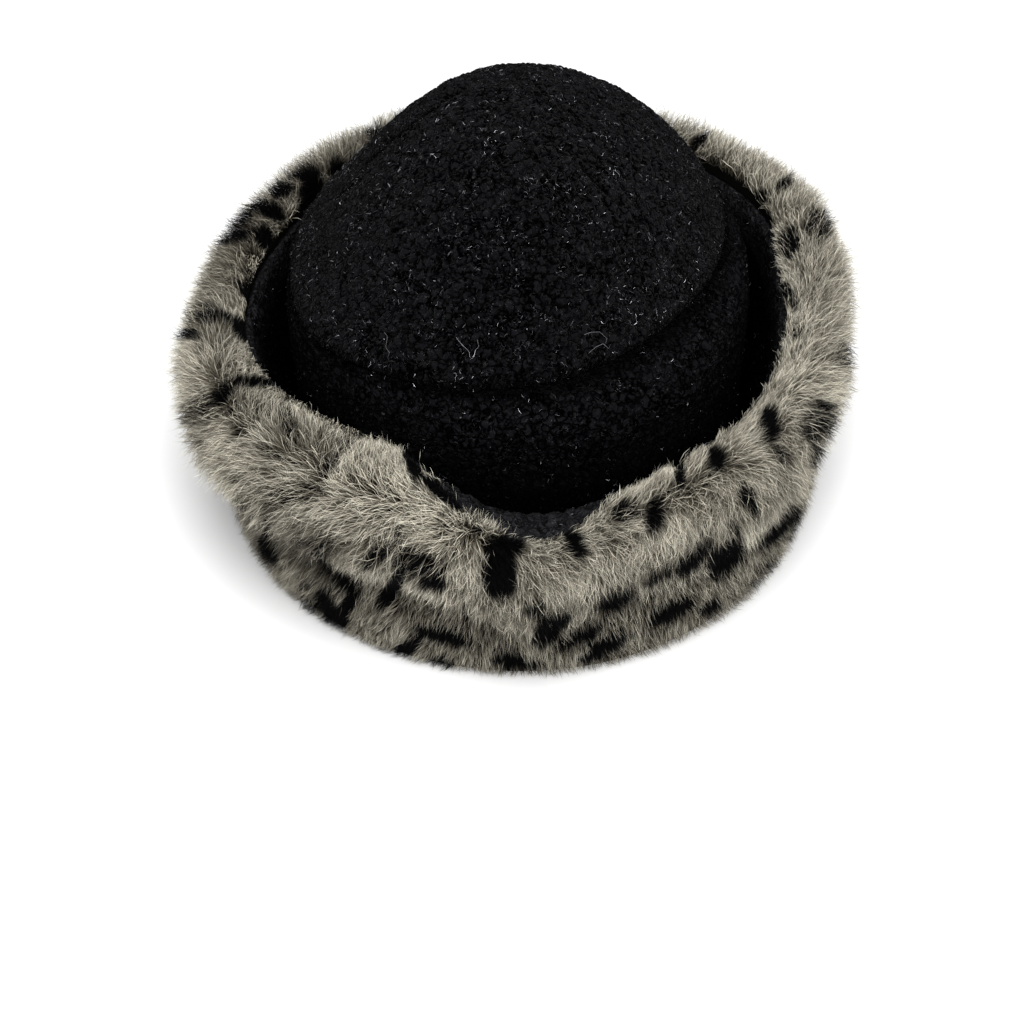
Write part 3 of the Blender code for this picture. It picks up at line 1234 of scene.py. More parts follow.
class Ribbons:
    """Many narrow strips, each tapering to a point, kept as arrays until they are one mesh."""

    def __init__(self, spine: np.ndarray, halves: np.ndarray) -> None:
        """Keeps the strips.

        Args:
            spine: Each strip's places, root to tip.
            halves: Half the strip's width as a vector, at each of those places but the tip.
        """
        self.spine = spine
        self.halves = np.concatenate([halves, np.zeros_like(halves[:, :1])], axis=1)

    def mesh(self, name: str, marks: dict[str, np.ndarray], looks: Values) -> bpy.types.Mesh:
        """Joins the strips into one mesh: a flat grid of two columns a strip, cut between strips.

        Args:
            name: The mesh's name.
            marks: A row of values for each strip, with one for each place of its spine.
            looks: Each strip's look, from 0 to 63. Strips of one look share a cell of the bake's map.

        Returns:
            The mesh.
        """
        count, joints = self.spine.shape[:2]
        flat = FlatGrid(name, 2 * count, joints)
        step = flat.row
        strip, side = np.divmod(flat.column, 2)
        places = self.spine[strip, step] + (2 * side - 1)[:, None] * self.halves[strip, step]
        flat.lay(places, {mark: values[strip, step] for mark, values in marks.items()})
        corners = np.empty(len(flat.mesh.loops), int)
        flat.mesh.loops.foreach_get("vertex_index", corners)
        cell_up, cell_over = np.divmod(looks, MAP_CELLS)
        over = (cell_over[strip] + MARGIN_ACROSS + (1 - 2 * MARGIN_ACROSS) * side) / MAP_CELLS
        along = step / (joints - 1)
        up = (cell_up[strip] + MARGIN_ALONG + (1 - 2 * MARGIN_ALONG) * along) / MAP_CELLS
        layer = flat.mesh.uv_layers.new(name="OFBake")
        layer.uv.foreach_set("vector", np.stack([over[corners], up[corners]], axis=-1).ravel())
        between = flat.column[corners].reshape(-1, 4).min(axis=1) % 2 == 1
        made = flat.reopened()
        made.faces.ensure_lookup_table()
        made.verts.ensure_lookup_table()
        right = np.flatnonzero((step == joints - 1) & (side == 1))
        left = np.empty(count, int)
        ends = np.flatnonzero((step == joints - 1) & (side == 0))
        left[strip[ends]] = ends
        joined = {made.verts[int(one)]: made.verts[int(left[strip[one]])] for one in right}
        gone = [made.faces[int(index)] for index in np.flatnonzero(between)]
        bmesh.ops.delete(made, geom=gone, context="FACES")
        bmesh.ops.weld_verts(made, targetmap=joined)
        return flat.finished()


@dataclass(frozen=True)
class ClothTrim:
    """What is scattered on boucle: curls of tinsel and short lint."""

    tinsel_length: float = 0.0017
    tinsel_width: float = 0.00009
    cluster: float = 2.4
    lint_length: float = 0.0016
    lint_width: float = 0.00011
    together: int = 5
    steps: int = 2
    shortest: float = 0.35
    longest: float = 1.5
    root_depth: float = 0.0004
    bow: float = 1.1
    rise: float = 0.55
    turn: float = 0.9

    def flecks(self, cloth: Cloth, count: int, chance: np.random.Generator) -> Ribbons:
        """Lays curled flecks in loose clusters on a cloth.

        Args:
            cloth: The cloth's visible side.
            count: How many are wanted.
            chance: The source of random numbers.

        Returns:
            The flecks.
        """
        clusters = count // self.together
        home = self._evenly(cloth, clusters, chance)[:, chance.integers(0, clusters, count)]
        row, column = home + np.rint(chance.normal(0, self.cluster, (2, count))).astype(int)
        row = np.clip(row, 0, cloth.places.shape[0] - 1)
        column = column % (cloth.places.shape[1] - 1)
        return self._curl(cloth, row, column, self.tinsel_length, self.tinsel_width, chance)

    def lint(self, cloth: Cloth, count: int, chance: np.random.Generator) -> Ribbons:
        """Stands short lint all over a cloth."""
        row, column = self._evenly(cloth, count, chance)
        return self._curl(cloth, row, column, self.lint_length, self.lint_width, chance)

    def _evenly(self, cloth: Cloth, count: int, chance: np.random.Generator) -> np.ndarray:
        """Picks rows and columns all over a cloth, evenly by area.

        Args:
            cloth: The cloth's visible side.
            count: How many are wanted.
            chance: The source of random numbers.

        Returns:
            The picked rows and columns.
        """
        step = np.diff(cloth.places, axis=1)[:-1]
        rise = np.diff(cloth.places, axis=0)[:, :-1]
        area = np.linalg.norm(np.cross(step, rise), axis=2).ravel()
        picks = chance.choice(len(area), count, p=area / area.sum())
        return np.array(np.divmod(picks, cloth.places.shape[1] - 1))

    def _curl(
        self,
        cloth: Cloth,
        row: Values,
        column: Values,
        length: float,
        width: float,
        chance: np.random.Generator,
    ) -> Ribbons:
        """Makes curled strips that start on a cloth and bow out of it.

        Args:
            cloth: The cloth's visible side.
            row: Each strip's row on the cloth.
            column: Its column on the cloth.
            length: A strip's usual length, in metres.
            width: A strip's width, in metres.
            chance: The source of random numbers.

        Returns:
            The strips.
        """
        base, normal = cloth.places[row, column], cloth.normals[row, column]
        heading = unit(np.cross(normal, chance.normal(0, 1, normal.shape)))
        bend = unit(np.cross(normal, chance.normal(0, 1, normal.shape)))
        reach = length * chance.uniform(self.shortest, self.longest, (len(base), 1))
        spine = [base + normal * self.root_depth * chance.uniform(-0.8, 0.6, (len(base), 1))]
        for index in range(self.steps):
            way = unit(heading + bend * (self.bow * index) + normal * (self.rise - self.rise * index))
            spine.append(spine[-1] + way * reach / self.steps)
        face = unit(normal + self.turn * chance.normal(0, 1, normal.shape))
        across = unit(np.cross(heading, face)) * width / 2
        halves = np.stack([across] * self.steps, axis=1)
        return Ribbons(np.stack(spine, axis=1), halves)


class Spot(NamedTuple):
    """A black spot of the pelt, charted on the photograph: its middle, half-axes, turn and strength.

    Places and half-axes are in the photograph's pixels, and the turn is in degrees, rising to the right.
    """

    x: float
    y: float
    reach: float
    breadth: float
    turn: float
    strength: float


# The lower band, left to right
BAND_SPOTS = read_rows(Spot, (
    (267, 552, 17, 8, -55, 0.95), (325, 568, 10, 6, -45, 0.80), (346, 587, 16, 8, -50, 1.00),
    (305, 590, 9, 10, 0, 0.40), (308, 608, 14, 6, -20, 0.70), (323, 600, 10, 9, -60, 0.95),
    (332, 613, 20, 8, -35, 0.95), (348, 605, 10, 8, 50, 0.80), (335, 625, 16, 6, -30, 0.80),
    (382, 657, 16, 6, -25, 0.70), (405, 650, 14, 8, 30, 0.90), (442, 638, 30, 9, -16, 1.00),
    (442, 664, 14, 6, -15, 0.85), (466, 620, 5, 19, 5, 0.35), (507, 661, 16, 11, 0, 1.00),
    (531, 668, 15, 4, 5, 0.85), (534, 610, 13, 8, 25, 0.60), (552, 629, 22, 12, 40, 1.00),
    (582, 638, 24, 8, 28, 0.90), (607, 648, 29, 9, 28, 0.95), (615, 602, 21, 11, 25, 1.00),
    (659, 578, 17, 7, 30, 0.90), (690, 565, 17, 10, 45, 1.00), (705, 546, 9, 8, 40, 0.90),
    (671, 614, 28, 10, 30, 1.00), (713, 609, 12, 7, 35, 0.80), (726, 560, 24, 15, 50, 1.00),
    (782, 528, 31, 8, 47, 1.00), (733, 528, 8, 7, 0, 0.60), (768, 567, 14, 6, 45, 0.60),
    (757, 582, 7, 4, 45, 0.60), (796, 533, 14, 4, 60, 0.50),
))

# The roll, from the left over the back to the right
ROLL_SPOTS = read_rows(Spot, (
    (338, 167, 9, 12, 0, 1.00), (375, 131, 10, 6, 20, 0.80), (303, 172, 15, 7, 25, 0.95),
    (311, 191, 12, 24, 0, 1.00), (283, 189, 14, 9, 8, 0.95), (246, 214, 24, 7, 40, 0.80),
    (232, 238, 20, 6, 12, 0.80), (244, 284, 12, 6, -20, 0.60), (201, 307, 20, 4, 12, 0.45),
    (271, 210, 16, 8, -30, 0.95), (264, 236, 9, 12, 0, 1.00), (238, 228, 20, 13, 0, 0.60),
    (246, 291, 7, 8, 0, 0.70), (240, 329, 12, 8, -60, 1.00), (225, 317, 14, 6, -35, 0.95),
    (203, 318, 20, 7, 5, 0.60), (186, 334, 14, 6, 0, 0.90), (222, 393, 16, 8, 40, 0.80),
    (250, 381, 22, 6, -3, 1.00), (200, 410, 26, 13, 25, 0.46), (239, 430, 6, 8, 0, 0.42),
    (289, 422, 20, 10, -70, 0.42), (272, 452, 15, 7, -30, 0.34), (346, 441, 13, 7, 60, 0.30),
    (328, 467, 18, 5, 52, 0.58), (296, 494, 30, 11, 12, 0.44), (267, 514, 6, 22, 0, 0.50),
    (244, 508, 14, 6, -60, 0.40), (236, 480, 8, 7, 0, 0.28), (297, 541, 9, 10, 0, 0.44),
    (322, 548, 17, 12, 0, 0.50), (376, 557, 22, 8, 40, 0.62), (391, 590, 24, 8, 60, 0.85),
    (399, 534, 6, 10, 0, 0.50), (412, 562, 20, 17, 0, 0.58), (434, 584, 16, 9, 0, 1.00),
    (438, 566, 12, 9, 0, 0.44), (413, 465, 19, 7, -70, 1.00), (442, 492, 28, 7, -38, 0.90),
    (506, 547, 21, 14, 0, 1.00), (500, 577, 17, 24, 0, 1.00), (574, 541, 19, 10, -60, 0.85),
    (627, 510, 15, 10, 30, 0.54), (655, 516, 10, 17, 0, 1.00), (681, 478, 6, 14, 0, 0.85),
    (718, 458, 12, 13, 0, 1.00), (749, 502, 20, 9, -65, 0.62), (771, 425, 10, 19, 0, 1.00),
    (783, 456, 14, 7, -50, 0.50), (822, 427, 22, 17, 0, 0.60), (824, 405, 16, 5, -10, 0.75),
    (818, 458, 9, 15, 0, 0.55), (772, 354, 9, 14, 0, 0.62), (797, 332, 10, 5, 45, 0.50),
    (848, 355, 13, 13, 0, 0.50), (789, 296, 15, 7, -60, 0.60), (789, 243, 11, 17, 0, 0.65),
    (819, 223, 16, 18, 0, 0.55), (785, 183, 12, 6, 40, 0.70), (762, 195, 8, 9, 0, 0.60),
    (700, 140, 13, 6, 45, 0.75),
))


# Where the fur is paler, or darker below 0, than elsewhere: partly the fur's own tone, partly painted light
# on the roll's lit crest and painted shade under the roll and on its far side
TONE_AND_LIGHT_PATCHES = read_rows(Spot, (
    (400, 505, 90, 40, -18, 0.65), (298, 550, 62, 26, -40, -0.28), (307, 562, 56, 6, -33, -0.50),
    (250, 210, 110, 32, 45, -0.30), (347, 144, 26, 16, 35, -0.20), (212, 290, 34, 66, 0, -0.30),
    (218, 348, 24, 18, 0, 0.30), (262, 262, 16, 13, 0, 0.30), (735, 165, 60, 22, -35, 0.45),
    (715, 575, 70, 26, 38, 0.10), (770, 200, 26, 12, -60, -0.20),
))


class Comb(NamedTuple):
    """How the hair lies at a place of the photograph: its pixel, and a heading in degrees, 90 for up."""

    x: float
    y: float
    heading: float


COMBED = read_rows(Comb, (
    # The roll's left side, from the far end
    (350, 140, 100), (335, 130, 105), (365, 125, 95), (385, 119, 82), (330, 165, 100), (320, 155, 120),
    (305, 167, 130), (300, 182, 148), (285, 187, 155), (270, 200, 155), (255, 215, 165), (240, 230, 170),
    (290, 210, 130), (265, 225, 110), (230, 241, 172), (215, 250, 170), (225, 265, 148), (245, 255, 120),
    (260, 258, 65), (266, 270, 40), (250, 272, 130), (210, 270, 165), (200, 285, 175), (195, 302, 180),
    (225, 285, 140), (245, 297, 45), (235, 305, 115), (210, 305, 115), (185, 332, 178), (188, 312, 162),
    (214, 335, 95), (235, 325, 60), (240, 345, 20), (246, 358, 5), (250, 371, 15), (225, 355, 60),
    (200, 352, 138), (188, 365, 158), (182, 385, 176), (200, 391, 182), (180, 402, 186), (240, 386, 50),
    (262, 393, 50), (285, 402, 62), (245, 405, 70), (200, 411, 190), (190, 424, 196), (215, 426, 200),
    (235, 434, 198), (252, 420, 110), (284, 426, 100), (310, 416, 75), (326, 432, 70), (300, 441, 85),
    (265, 450, 152), (240, 455, 193), (215, 458, 208), (230, 480, 214), (260, 471, 190), (298, 474, 172),
    (270, 500, 205), (245, 520, 224), (300, 511, 208), (330, 520, 213), (290, 540, 217), (330, 545, 224),
    # The roll's back, to the right
    (340, 465, 60), (355, 446, 68), (375, 446, 90), (398, 450, 92), (413, 466, 96), (422, 482, 112),
    (366, 466, 92), (395, 480, 110), (435, 496, 126), (452, 491, 112), (466, 511, 102), (452, 517, 155),
    (430, 525, 170), (408, 520, 165), (350, 486, 135), (360, 505, 188), (345, 520, 203), (362, 536, 206),
    (345, 550, 215), (392, 546, 252), (402, 530, 270), (416, 546, 214), (440, 546, 212), (425, 565, 216),
    (442, 565, 238), (460, 560, 258), (476, 560, 270), (470, 590, 268), (450, 590, 252), (494, 526, 48),
    (507, 520, 50), (514, 536, 15), (489, 549, 308), (500, 565, 272), (500, 585, 268), (540, 545, 5),
    (558, 538, 20), (576, 530, 42), (572, 551, 345), (535, 570, 306), (560, 582, 290), (588, 585, 272),
    (589, 521, 76), (600, 509, 62), (612, 498, 62), (606, 534, 38), (622, 524, 22), (600, 555, 280),
    (612, 570, 274), (627, 560, 284), (646, 490, 60), (660, 480, 76), (671, 471, 82), (632, 495, 66),
    (666, 511, 302), (682, 516, 294), (690, 541, 276), (660, 542, 270), (640, 540, 264), (650, 560, 268),
    (702, 520, 280), (691, 480, 62), (699, 454, 72), (690, 466, 82), (700, 500, 268), (716, 470, 320),
    # The roll's right side, to its far end
    (732, 446, 55), (744, 438, 35), (744, 424, 60), (734, 415, 66), (720, 431, 62), (750, 452, 25),
    (760, 400, 64), (776, 386, 60), (770, 372, 60), (790, 380, 64), (768, 346, 145), (786, 346, 112),
    (790, 330, 70), (802, 360, 54), (820, 350, 27), (842, 345, 20), (850, 361, 6), (830, 371, 12),
    (840, 384, 0), (822, 400, 355), (802, 396, 345), (820, 430, 310), (808, 442, 304), (832, 415, 350),
    (770, 430, 60), (777, 446, 312), (792, 460, 310), (780, 480, 300), (760, 470, 302), (740, 481, 282),
    (720, 491, 274), (715, 515, 270), (741, 510, 285), (762, 505, 300), (792, 500, 309), (802, 480, 310),
    (690, 145, 62), (705, 145, 66), (720, 150, 74), (740, 156, 74), (760, 170, 70), (780, 180, 66),
    (800, 191, 64), (760, 195, 110), (775, 205, 92), (791, 206, 76), (815, 211, 70), (831, 226, 56),
    (842, 241, 48), (810, 240, 86), (785, 226, 140), (780, 240, 150), (791, 251, 130), (820, 260, 76),
    (841, 266, 44), (790, 271, 120), (776, 286, 112), (800, 290, 96), (781, 301, 116), (820, 290, 66),
    (846, 290, 38), (830, 310, 44), (851, 320, 24), (800, 315, 76), (776, 325, 102), (811, 330, 48),
    # The lower band
    (270, 546, 230), (300, 575, 235), (335, 600, 240), (350, 575, 235), (320, 620, 235), (362, 590, 240),
    (376, 620, 236), (400, 640, 236), (420, 602, 236), (430, 651, 246), (441, 616, 250), (460, 640, 262),
    (490, 621, 268), (500, 651, 272), (530, 620, 280), (560, 611, 278), (560, 651, 278), (600, 640, 285),
    (611, 600, 280), (641, 601, 282), (660, 630, 286), (700, 591, 290), (741, 591, 300), (700, 571, 290),
    (741, 561, 286), (771, 561, 300), (791, 530, 300), (751, 531, 286),
))

# The fur's inner edge, left to right round the back
INNER_EDGE = read_rows(Mark, (
    (243, 325), (247, 340), (253, 355), (262, 371), (272, 382), (280, 394), (288, 401), (303, 409),
    (313, 418), (323, 424), (331, 429), (341, 430), (350, 434), (358, 441), (378, 441), (388, 445),
    (397, 447), (402, 456), (410, 470), (420, 481), (432, 495), (445, 507), (458, 516), (470, 522),
    (482, 525), (492, 522), (500, 528), (510, 540), (520, 548), (529, 543), (541, 537), (558, 535),
    (570, 528), (577, 525), (583, 534), (587, 524), (592, 514), (599, 505), (607, 497), (616, 491),
    (640, 486), (650, 482), (656, 474), (664, 467), (672, 467), (679, 478), (685, 468), (693, 450),
    (700, 444), (709, 449), (715, 440), (721, 427), (730, 416), (738, 408), (747, 400), (755, 389),
    (761, 378),
))


class FurRow(NamedTuple):
    """One ring of the fur's backing and how its hair lies there.

    On the roll, out is the share of the way out and up the rise above the rim, which sinks at the back
    of the hat. On the band, out is the swell beyond the base and up the share of the fold's height. Lean
    says how far the hair lies over, and tall how high above the backing the eye sees it.
    """

    out: float
    up: float
    sink: float
    lean: float
    length: float
    tall: float


ROLL_ROWS = (
    FurRow(0.06, 0.002, 0.002, 0.80, 0.0045, 0.003),
    FurRow(0.22, 0.005, 0.005, 0.80, 0.0080, 0.005),
    FurRow(0.44, 0.006, 0.007, 0.78, 0.0108, 0.008),
    FurRow(0.68, 0.002, 0.006, 0.76, 0.0125, 0.009),
    FurRow(0.90, -0.007, 0.004, 0.80, 0.0130, 0.009),
    FurRow(0.98, -0.019, 0.002, 0.95, 0.0125, 0.008),
    FurRow(0.92, -0.030, 0.001, 1.20, 0.0100, 0.006),
)
HEM_ROWS = (
    FurRow(0.003, 1.00, 0.0, 1.25, 0.0075, 0.005),
    FurRow(0.005, 0.66, 0.0, 1.25, 0.0072, 0.005),
    FurRow(0.004, 0.33, 0.0, 1.25, 0.0070, 0.005),
    FurRow(0.001, 0.00, 0.0, 0.75, 0.0066, 0.004),
)


@dataclass(frozen=True)
class PileZone:
    """One stretch of the fur, from its first ring to its last: its hairs' number, joints and mean tone."""

    name: str
    first: float
    last: float
    hairs: int
    joints: tuple[float, ...]
    tone: float


PILE_ZONES = (
    PileZone("fur_inner_roll", 0.0, 2.2, 24000, (0.36, 0.34, 0.30), 0.22),
    PileZone("fur_roll_crest", 2.2, 4.2, 36000, (0.36, 0.34, 0.30), 0.22),
    PileZone("fur_outer_roll", 4.2, 6.4, 39000, (0.36, 0.34, 0.30), 0.18),
    PileZone("fur_lower_band", 6.4, 10.0, 58000, (0.5, 0.5), 0.16),
)


@dataclass(frozen=True)
class UnseenSpots:
    """How random spots are laid where the photograph doesn't show the pelt: a jittered lattice."""

    rows: int = 5
    columns: int = 30
    first: float = 0.10
    last: float = 0.96
    row_jitter: float = 0.09
    column_jitter: float = 0.8
    cover: float = 0.012
    slant: float = 60.0
    reach: float = 0.004
    reach_spread: float = 0.008
    breadth: float = 0.0025
    breadth_spread: float = 0.0035
    box: float = 0.018
    depth: float = 0.010


@dataclass(frozen=True)
class Growth:
    """How the pelt's hairs differ: sizes in metres, and shares of a hair's own length, lean or way."""

    root_spread: float = 0.35
    swirl_size: float = 0.024
    swirl_turn: float = 0.4
    ripple_size: float = 0.008
    ripple_turn: float = 0.28
    parting: float = 2.4
    parting_swirl: float = 0.9
    parting_width: float = 1.3
    lean_swirl: float = 0.2
    lean_at_root: float = 0.75
    lean_growth: float = 0.45
    patch_size: float = 0.012
    patch_length: float = 0.18
    front_length: float = 1.3
    shortest: float = 0.65
    longest: float = 1.15
    stray: float = 0.33
    curl: float = 0.24
    tuft_size: float = 0.014
    tuft_pull: float = 0.20
    lock_size: float = 0.0030
    lock_pull: float = 0.28
    pull_power: float = 1.6
    floor: float = 0.0004
    floor_spread: float = 0.002
    width: float = 0.00019
    width_spread: float = 0.28
    face_spread: float = 0.45
    taper: float = 0.5
    least_ink: float = 0.06
    most_ink: float = 0.74
    patch_tone: float = 0.42
    tone_spread: float = 0.30


@dataclass
class FurCuff:
    """The turned-up cuff's outer side: a backing with deep hair in tufts, black where it is spotted."""

    facing: CuffFacing
    view: Viewpoint
    node: str = "fur_cuff"
    roll_depth: float = 0.0095
    band_depth: float = 0.007
    least_roll: float = 0.004
    base_half_width: float = 0.1165
    base_half_length: float = 0.1275
    facing_thickness: float = 0.0025
    columns: int = 360
    rows: int = 121
    hide_every_row: int = 3
    hide_every_column: int = 2
    comb_reach: float = 11.0
    comb_height: float = 0.006
    fringe_start: float = 400.0
    fringe_end: float = 520.0
    fringe_reach: float = 8.0
    edge_reach: float = 2.4
    least_left: float = 0.18
    spot_rag: float = 0.25
    unseen: UnseenSpots = UnseenSpots()
    growth: Growth = Growth()
    seed: int = 23

    def backing_rows(self, angles: Values) -> list[Row]:
        """Lists the backing's outer rows, from the rim over the roll and the fold to the base.

        Args:
            angles: Compass angles in degrees.

        Returns:
            Rows of places, with one for each angle.
        """
        radii, heights = self.facing.profile(angles)
        run = np.stack([radii[-1] - radii[-2], heights[-1] - heights[-2]])
        run = run / np.linalg.norm(run, axis=0)
        edge_radius = radii[-1] + 2 * FORM.layer_gap * run[0]
        edge_height = heights[-1] + 2 * FORM.layer_gap * run[1]
        roll = FORM.column(angles, "roll_radius") - self.roll_depth
        roll = np.maximum(roll, edge_radius + self.least_roll)
        behind = smooth_share(-np.sin(np.radians(angles)), -0.35, 0.35)
        rows = []
        for row in ROLL_ROWS:
            height = edge_height + row.up - row.sink * behind
            rows.append(FORM.placed(angles, mix(edge_radius, roll, row.out), height))
        base = FORM.oval(angles, self.base_half_width, self.base_half_length) - self.band_depth
        fold = FORM.column(angles, "fold_height")
        rows += [FORM.placed(angles, base + row.out, fold * row.up) for row in HEM_ROWS]
        return rows

    def back_rows(self, angles: Values) -> list[Row]:
        """Lists the backing's inner rows, behind the facing, from its lower edge up.

        Args:
            angles: Compass angles in degrees.

        Returns:
            Rows of places, with one for each angle.
        """
        radii, heights = self.facing.profile(angles)
        section = np.stack([np.array(radii), np.array(heights)], axis=-1)
        runs = unit(np.diff(section, axis=0))
        before = np.concatenate([runs[:1], runs])
        after = np.concatenate([runs, runs[-1:]])
        run = unit(before + after)
        away = np.stack([run[..., 1], -run[..., 0]], axis=-1) / np.sum(run * before, axis=-1)[..., None]
        moved = section + (self.facing_thickness + FORM.layer_gap) * away
        moved[0, :, 1] = 0.0
        return [FORM.placed(angles, row[:, 0], row[:, 1]) for row in moved]

    def build(self, hide: bpy.types.Material, fur: bpy.types.Material, others: list[np.ndarray]) -> None:
        """Builds the backing and its hair.

        Args:
            hide: The backing's material.
            fur: The hair's material.
            others: Grids of the pieces that may hide the fur from the camera.
        """
        self.chance = np.random.default_rng(self.seed)
        sweep = Sweep(self.backing_rows(ring_angles(self.columns)))
        across = np.linspace(0.0, sweep.length, self.rows)
        self.grid = sweep.at(across)
        self.ring_at = np.interp(across, sweep.knots, np.arange(len(sweep.knots)))
        self.normals = facing_out(self.grid, -1.0)
        self.down = unit(np.gradient(self.grid, axis=0))
        self.tops = self.grid + self._column(self.ring_at, "tall")[:, None, None] * self.normals
        self._lay_spots(others)
        self._build_hide(hide)
        for zone in PILE_ZONES:
            self._grow(zone, fur)

    def _build_hide(self, hide: bpy.types.Material) -> None:
        """Builds the backing, a closed wall that fills the fur's inside.

        Args:
            hide: The backing's material.
        """
        ink = self.ink_at(self.tops.reshape(-1, 3), self.normals.reshape(-1, 3)).reshape(self.grid.shape[:2])
        ink[:, -1] = ink[:, 0]
        front = self.grid[:: self.hide_every_row, :: self.hide_every_column]
        front_ink = ink[:: self.hide_every_row, :: self.hide_every_column]
        back = np.array(self.back_rows(ring_angles(self.columns // self.hide_every_column)))
        whole = np.concatenate([front, back, front[:1]])
        whole_ink = np.concatenate([front_ink, np.zeros(back.shape[:2]), front_ink[:1]])
        place_piece(grid_mesh("fur_hide", whole, ink=whole_ink), hide, self.node)

    def _lay_spots(self, others: list[np.ndarray]) -> None:
        """Lays random spots like the charted ones where the photograph doesn't show the pelt.

        Args:
            others: Grids of the pieces that may hide the fur from the camera.
        """
        seen = [surface_tree(grid) for grid in (self.tops, *others)]
        self.laid = []
        for row in np.linspace(self.unseen.first, self.unseen.last, self.unseen.rows):
            for column in range(self.unseen.columns):
                self._lay_unseen(row, column, seen)
        logger.info("spots: %d charted, %d unseen", len(BAND_SPOTS + ROLL_SPOTS), len(self.laid))

    def _lay_unseen(self, row: float, column: int, trees: list[BVHTree]) -> None:
        """Lays one random spot, unless the picture shows its place.

        Args:
            row: The spot's share of the way across the backing.
            column: Its column in the lattice of spots.
            trees: Trees of what may hide the place, with the fur's own first.
        """
        rule = self.unseen
        share, turn, wide, tall = self.chance.uniform(0, 1, 4)
        index = int(np.clip(row + rule.row_jitter * (share - 0.5), 0, 1) * (self.rows - 1))
        step = int((column + rule.column_jitter * turn) / rule.columns * self.columns) % self.columns
        place = self.tops[index, step]
        eye = self.view.eye()
        for tree in trees:
            distance = tree.ray_cast(Vector(eye), Vector(unit(place - eye)))[3]
            if distance is not None and distance < np.linalg.norm(place - eye) - rule.cover:
                behind = float(tree is trees[0])
                break
        else:
            return
        down = self.down[index, step]
        along = unit(np.cross(down, self.normals[index, step]))
        slant = math.radians(rule.slant * (share - 0.5))
        first = math.cos(slant) * along + math.sin(slant) * down
        second = math.cos(slant) * down - math.sin(slant) * along
        first = first * (rule.reach + rule.reach_spread * wide)
        second = second * (rule.breadth + rule.breadth_spread * tall)
        self.laid.append((place, first, second, behind))

    def ink_at(self, places: Places, normals: Places) -> Values:
        """Gives how likely hair is to be black.

        Args:
            places: Where the hair shows its colour.
            normals: The backing's normals under it.

        Returns:
            A value from 0 to 1 for each place.
        """
        ragged = self.spot_rag * drift(places, 0.004, 31)[:, 0]
        pixels = self.view.pixels(places)
        faced = smooth_share(self.view.faced(places, normals), -0.45, -0.15)
        ink = np.zeros(len(places))
        for spot, near, reach in self._charted(BAND_SPOTS + ROLL_SPOTS, pixels):
            here = spot.strength * (1 - smooth_share(reach + ragged[near], 0.80, 1.28))
            ink[near] = np.maximum(ink[near], here * faced[near])
        for middle, first, second, behind in self.laid:
            near = np.flatnonzero(np.abs(places - middle).max(axis=1) < self.unseen.box)
            offset = places[near] - middle
            basis = np.stack([first, second], axis=1)
            shares = offset @ np.linalg.pinv(basis).T
            beyond = np.linalg.norm(offset - shares @ basis.T, axis=1)
            reach = np.hypot(shares[:, 0], shares[:, 1]) + 1.5 * ragged[near]
            here = (1 - smooth_share(reach, 0.85, 1.15)) * (beyond < self.unseen.depth)
            ink[near] = np.maximum(ink[near], here * (1 - behind * faced[near]))
        return ink

    def _charted(self, spots: list[Spot], pixels: Places) -> Iterator[tuple[Spot, Values, Values]]:
        """Finds what lies at charted spots.

        Args:
            spots: The spots.
            pixels: The places in the picture.

        Yields:
            Each spot, the places near it and how many half-axes they are from its middle.
        """
        for spot in spots:
            offset = pixels - np.array([spot.x, spot.y])
            near = np.flatnonzero(np.abs(offset).max(axis=1) < 1.6 * max(spot.reach, spot.breadth))
            turn = math.radians(spot.turn)
            along = offset[near] @ np.array([math.cos(turn), -math.sin(turn)]) / spot.reach
            over = offset[near] @ np.array([math.sin(turn), math.cos(turn)]) / spot.breadth
            yield spot, near, np.hypot(along, over)

    def _combed(self, root: Places, normal: Places, lift: Values) -> tuple[Places, Values]:
        """Finds the charted way that hair lies.

        Args:
            root: The hairs' roots.
            normal: The backing's normals there.
            lift: The cosine of each hair's angle to its normal.

        Returns:
            A way in the backing's plane for each hair, and how far the chart holds for it.
        """
        right, up, forward = self.view.axes()
        pixels = self.view.pixels(root + self.comb_height * normal)
        total, weights = np.zeros((len(root), 2)), np.full(len(root), 1e-9)
        for mark in COMBED:
            offset = pixels - np.array([mark.x, mark.y])
            weight = np.exp(-np.sum(offset**2, axis=1) / (2 * self.comb_reach**2)) + 1e-7
            turn = math.radians(mark.heading)
            total += weight[:, None] * np.array([math.cos(turn), math.sin(turn)])
            weights += weight
        flat = total / weights[:, None]
        picture = flat @ np.stack([right, up])
        faced = self.view.faced(root, normal)
        away = (lift - np.sum(picture * normal, axis=1)) / np.maximum(faced, 0.3)
        way = picture - np.clip(away, -1.5, 1.5)[:, None] * forward
        way = unit(self._flat(way, normal)) * np.minimum(1.3 * np.linalg.norm(flat, axis=1), 1)[:, None]
        return way, smooth_share(faced, 0.0, 0.25)

    def _trimmed(self, spine: np.ndarray) -> np.ndarray:
        """Shortens hairs that would reach past the fur's charted inner edge.

        Args:
            spine: Each hair's places, root to tip.

        Returns:
            The hairs' places, shortened.
        """
        edge = np.array(INNER_EDGE)
        start, end = self.view.pixels(spine[:, 0]), self.view.pixels(spine[:, -1])
        fringe = (end[:, 0] > self.fringe_start) & (end[:, 0] < self.fringe_end)
        over = self.chance.exponential(np.where(fringe, self.fringe_reach, self.edge_reach))
        limit = np.interp(end[:, 0], edge[:, 0], edge[:, 1], -FAR, -FAR) - over
        share = (start[:, 1] - limit) / np.maximum(start[:, 1] - end[:, 1], 1e-3)
        past = (end[:, 1] < limit) & (spine[:, 0, 1] < 0.02)
        share = np.where(past, np.clip(share, self.least_left, 1.0), 1.0)
        return spine[:, :1] + (spine - spine[:, :1]) * share[:, None, None]

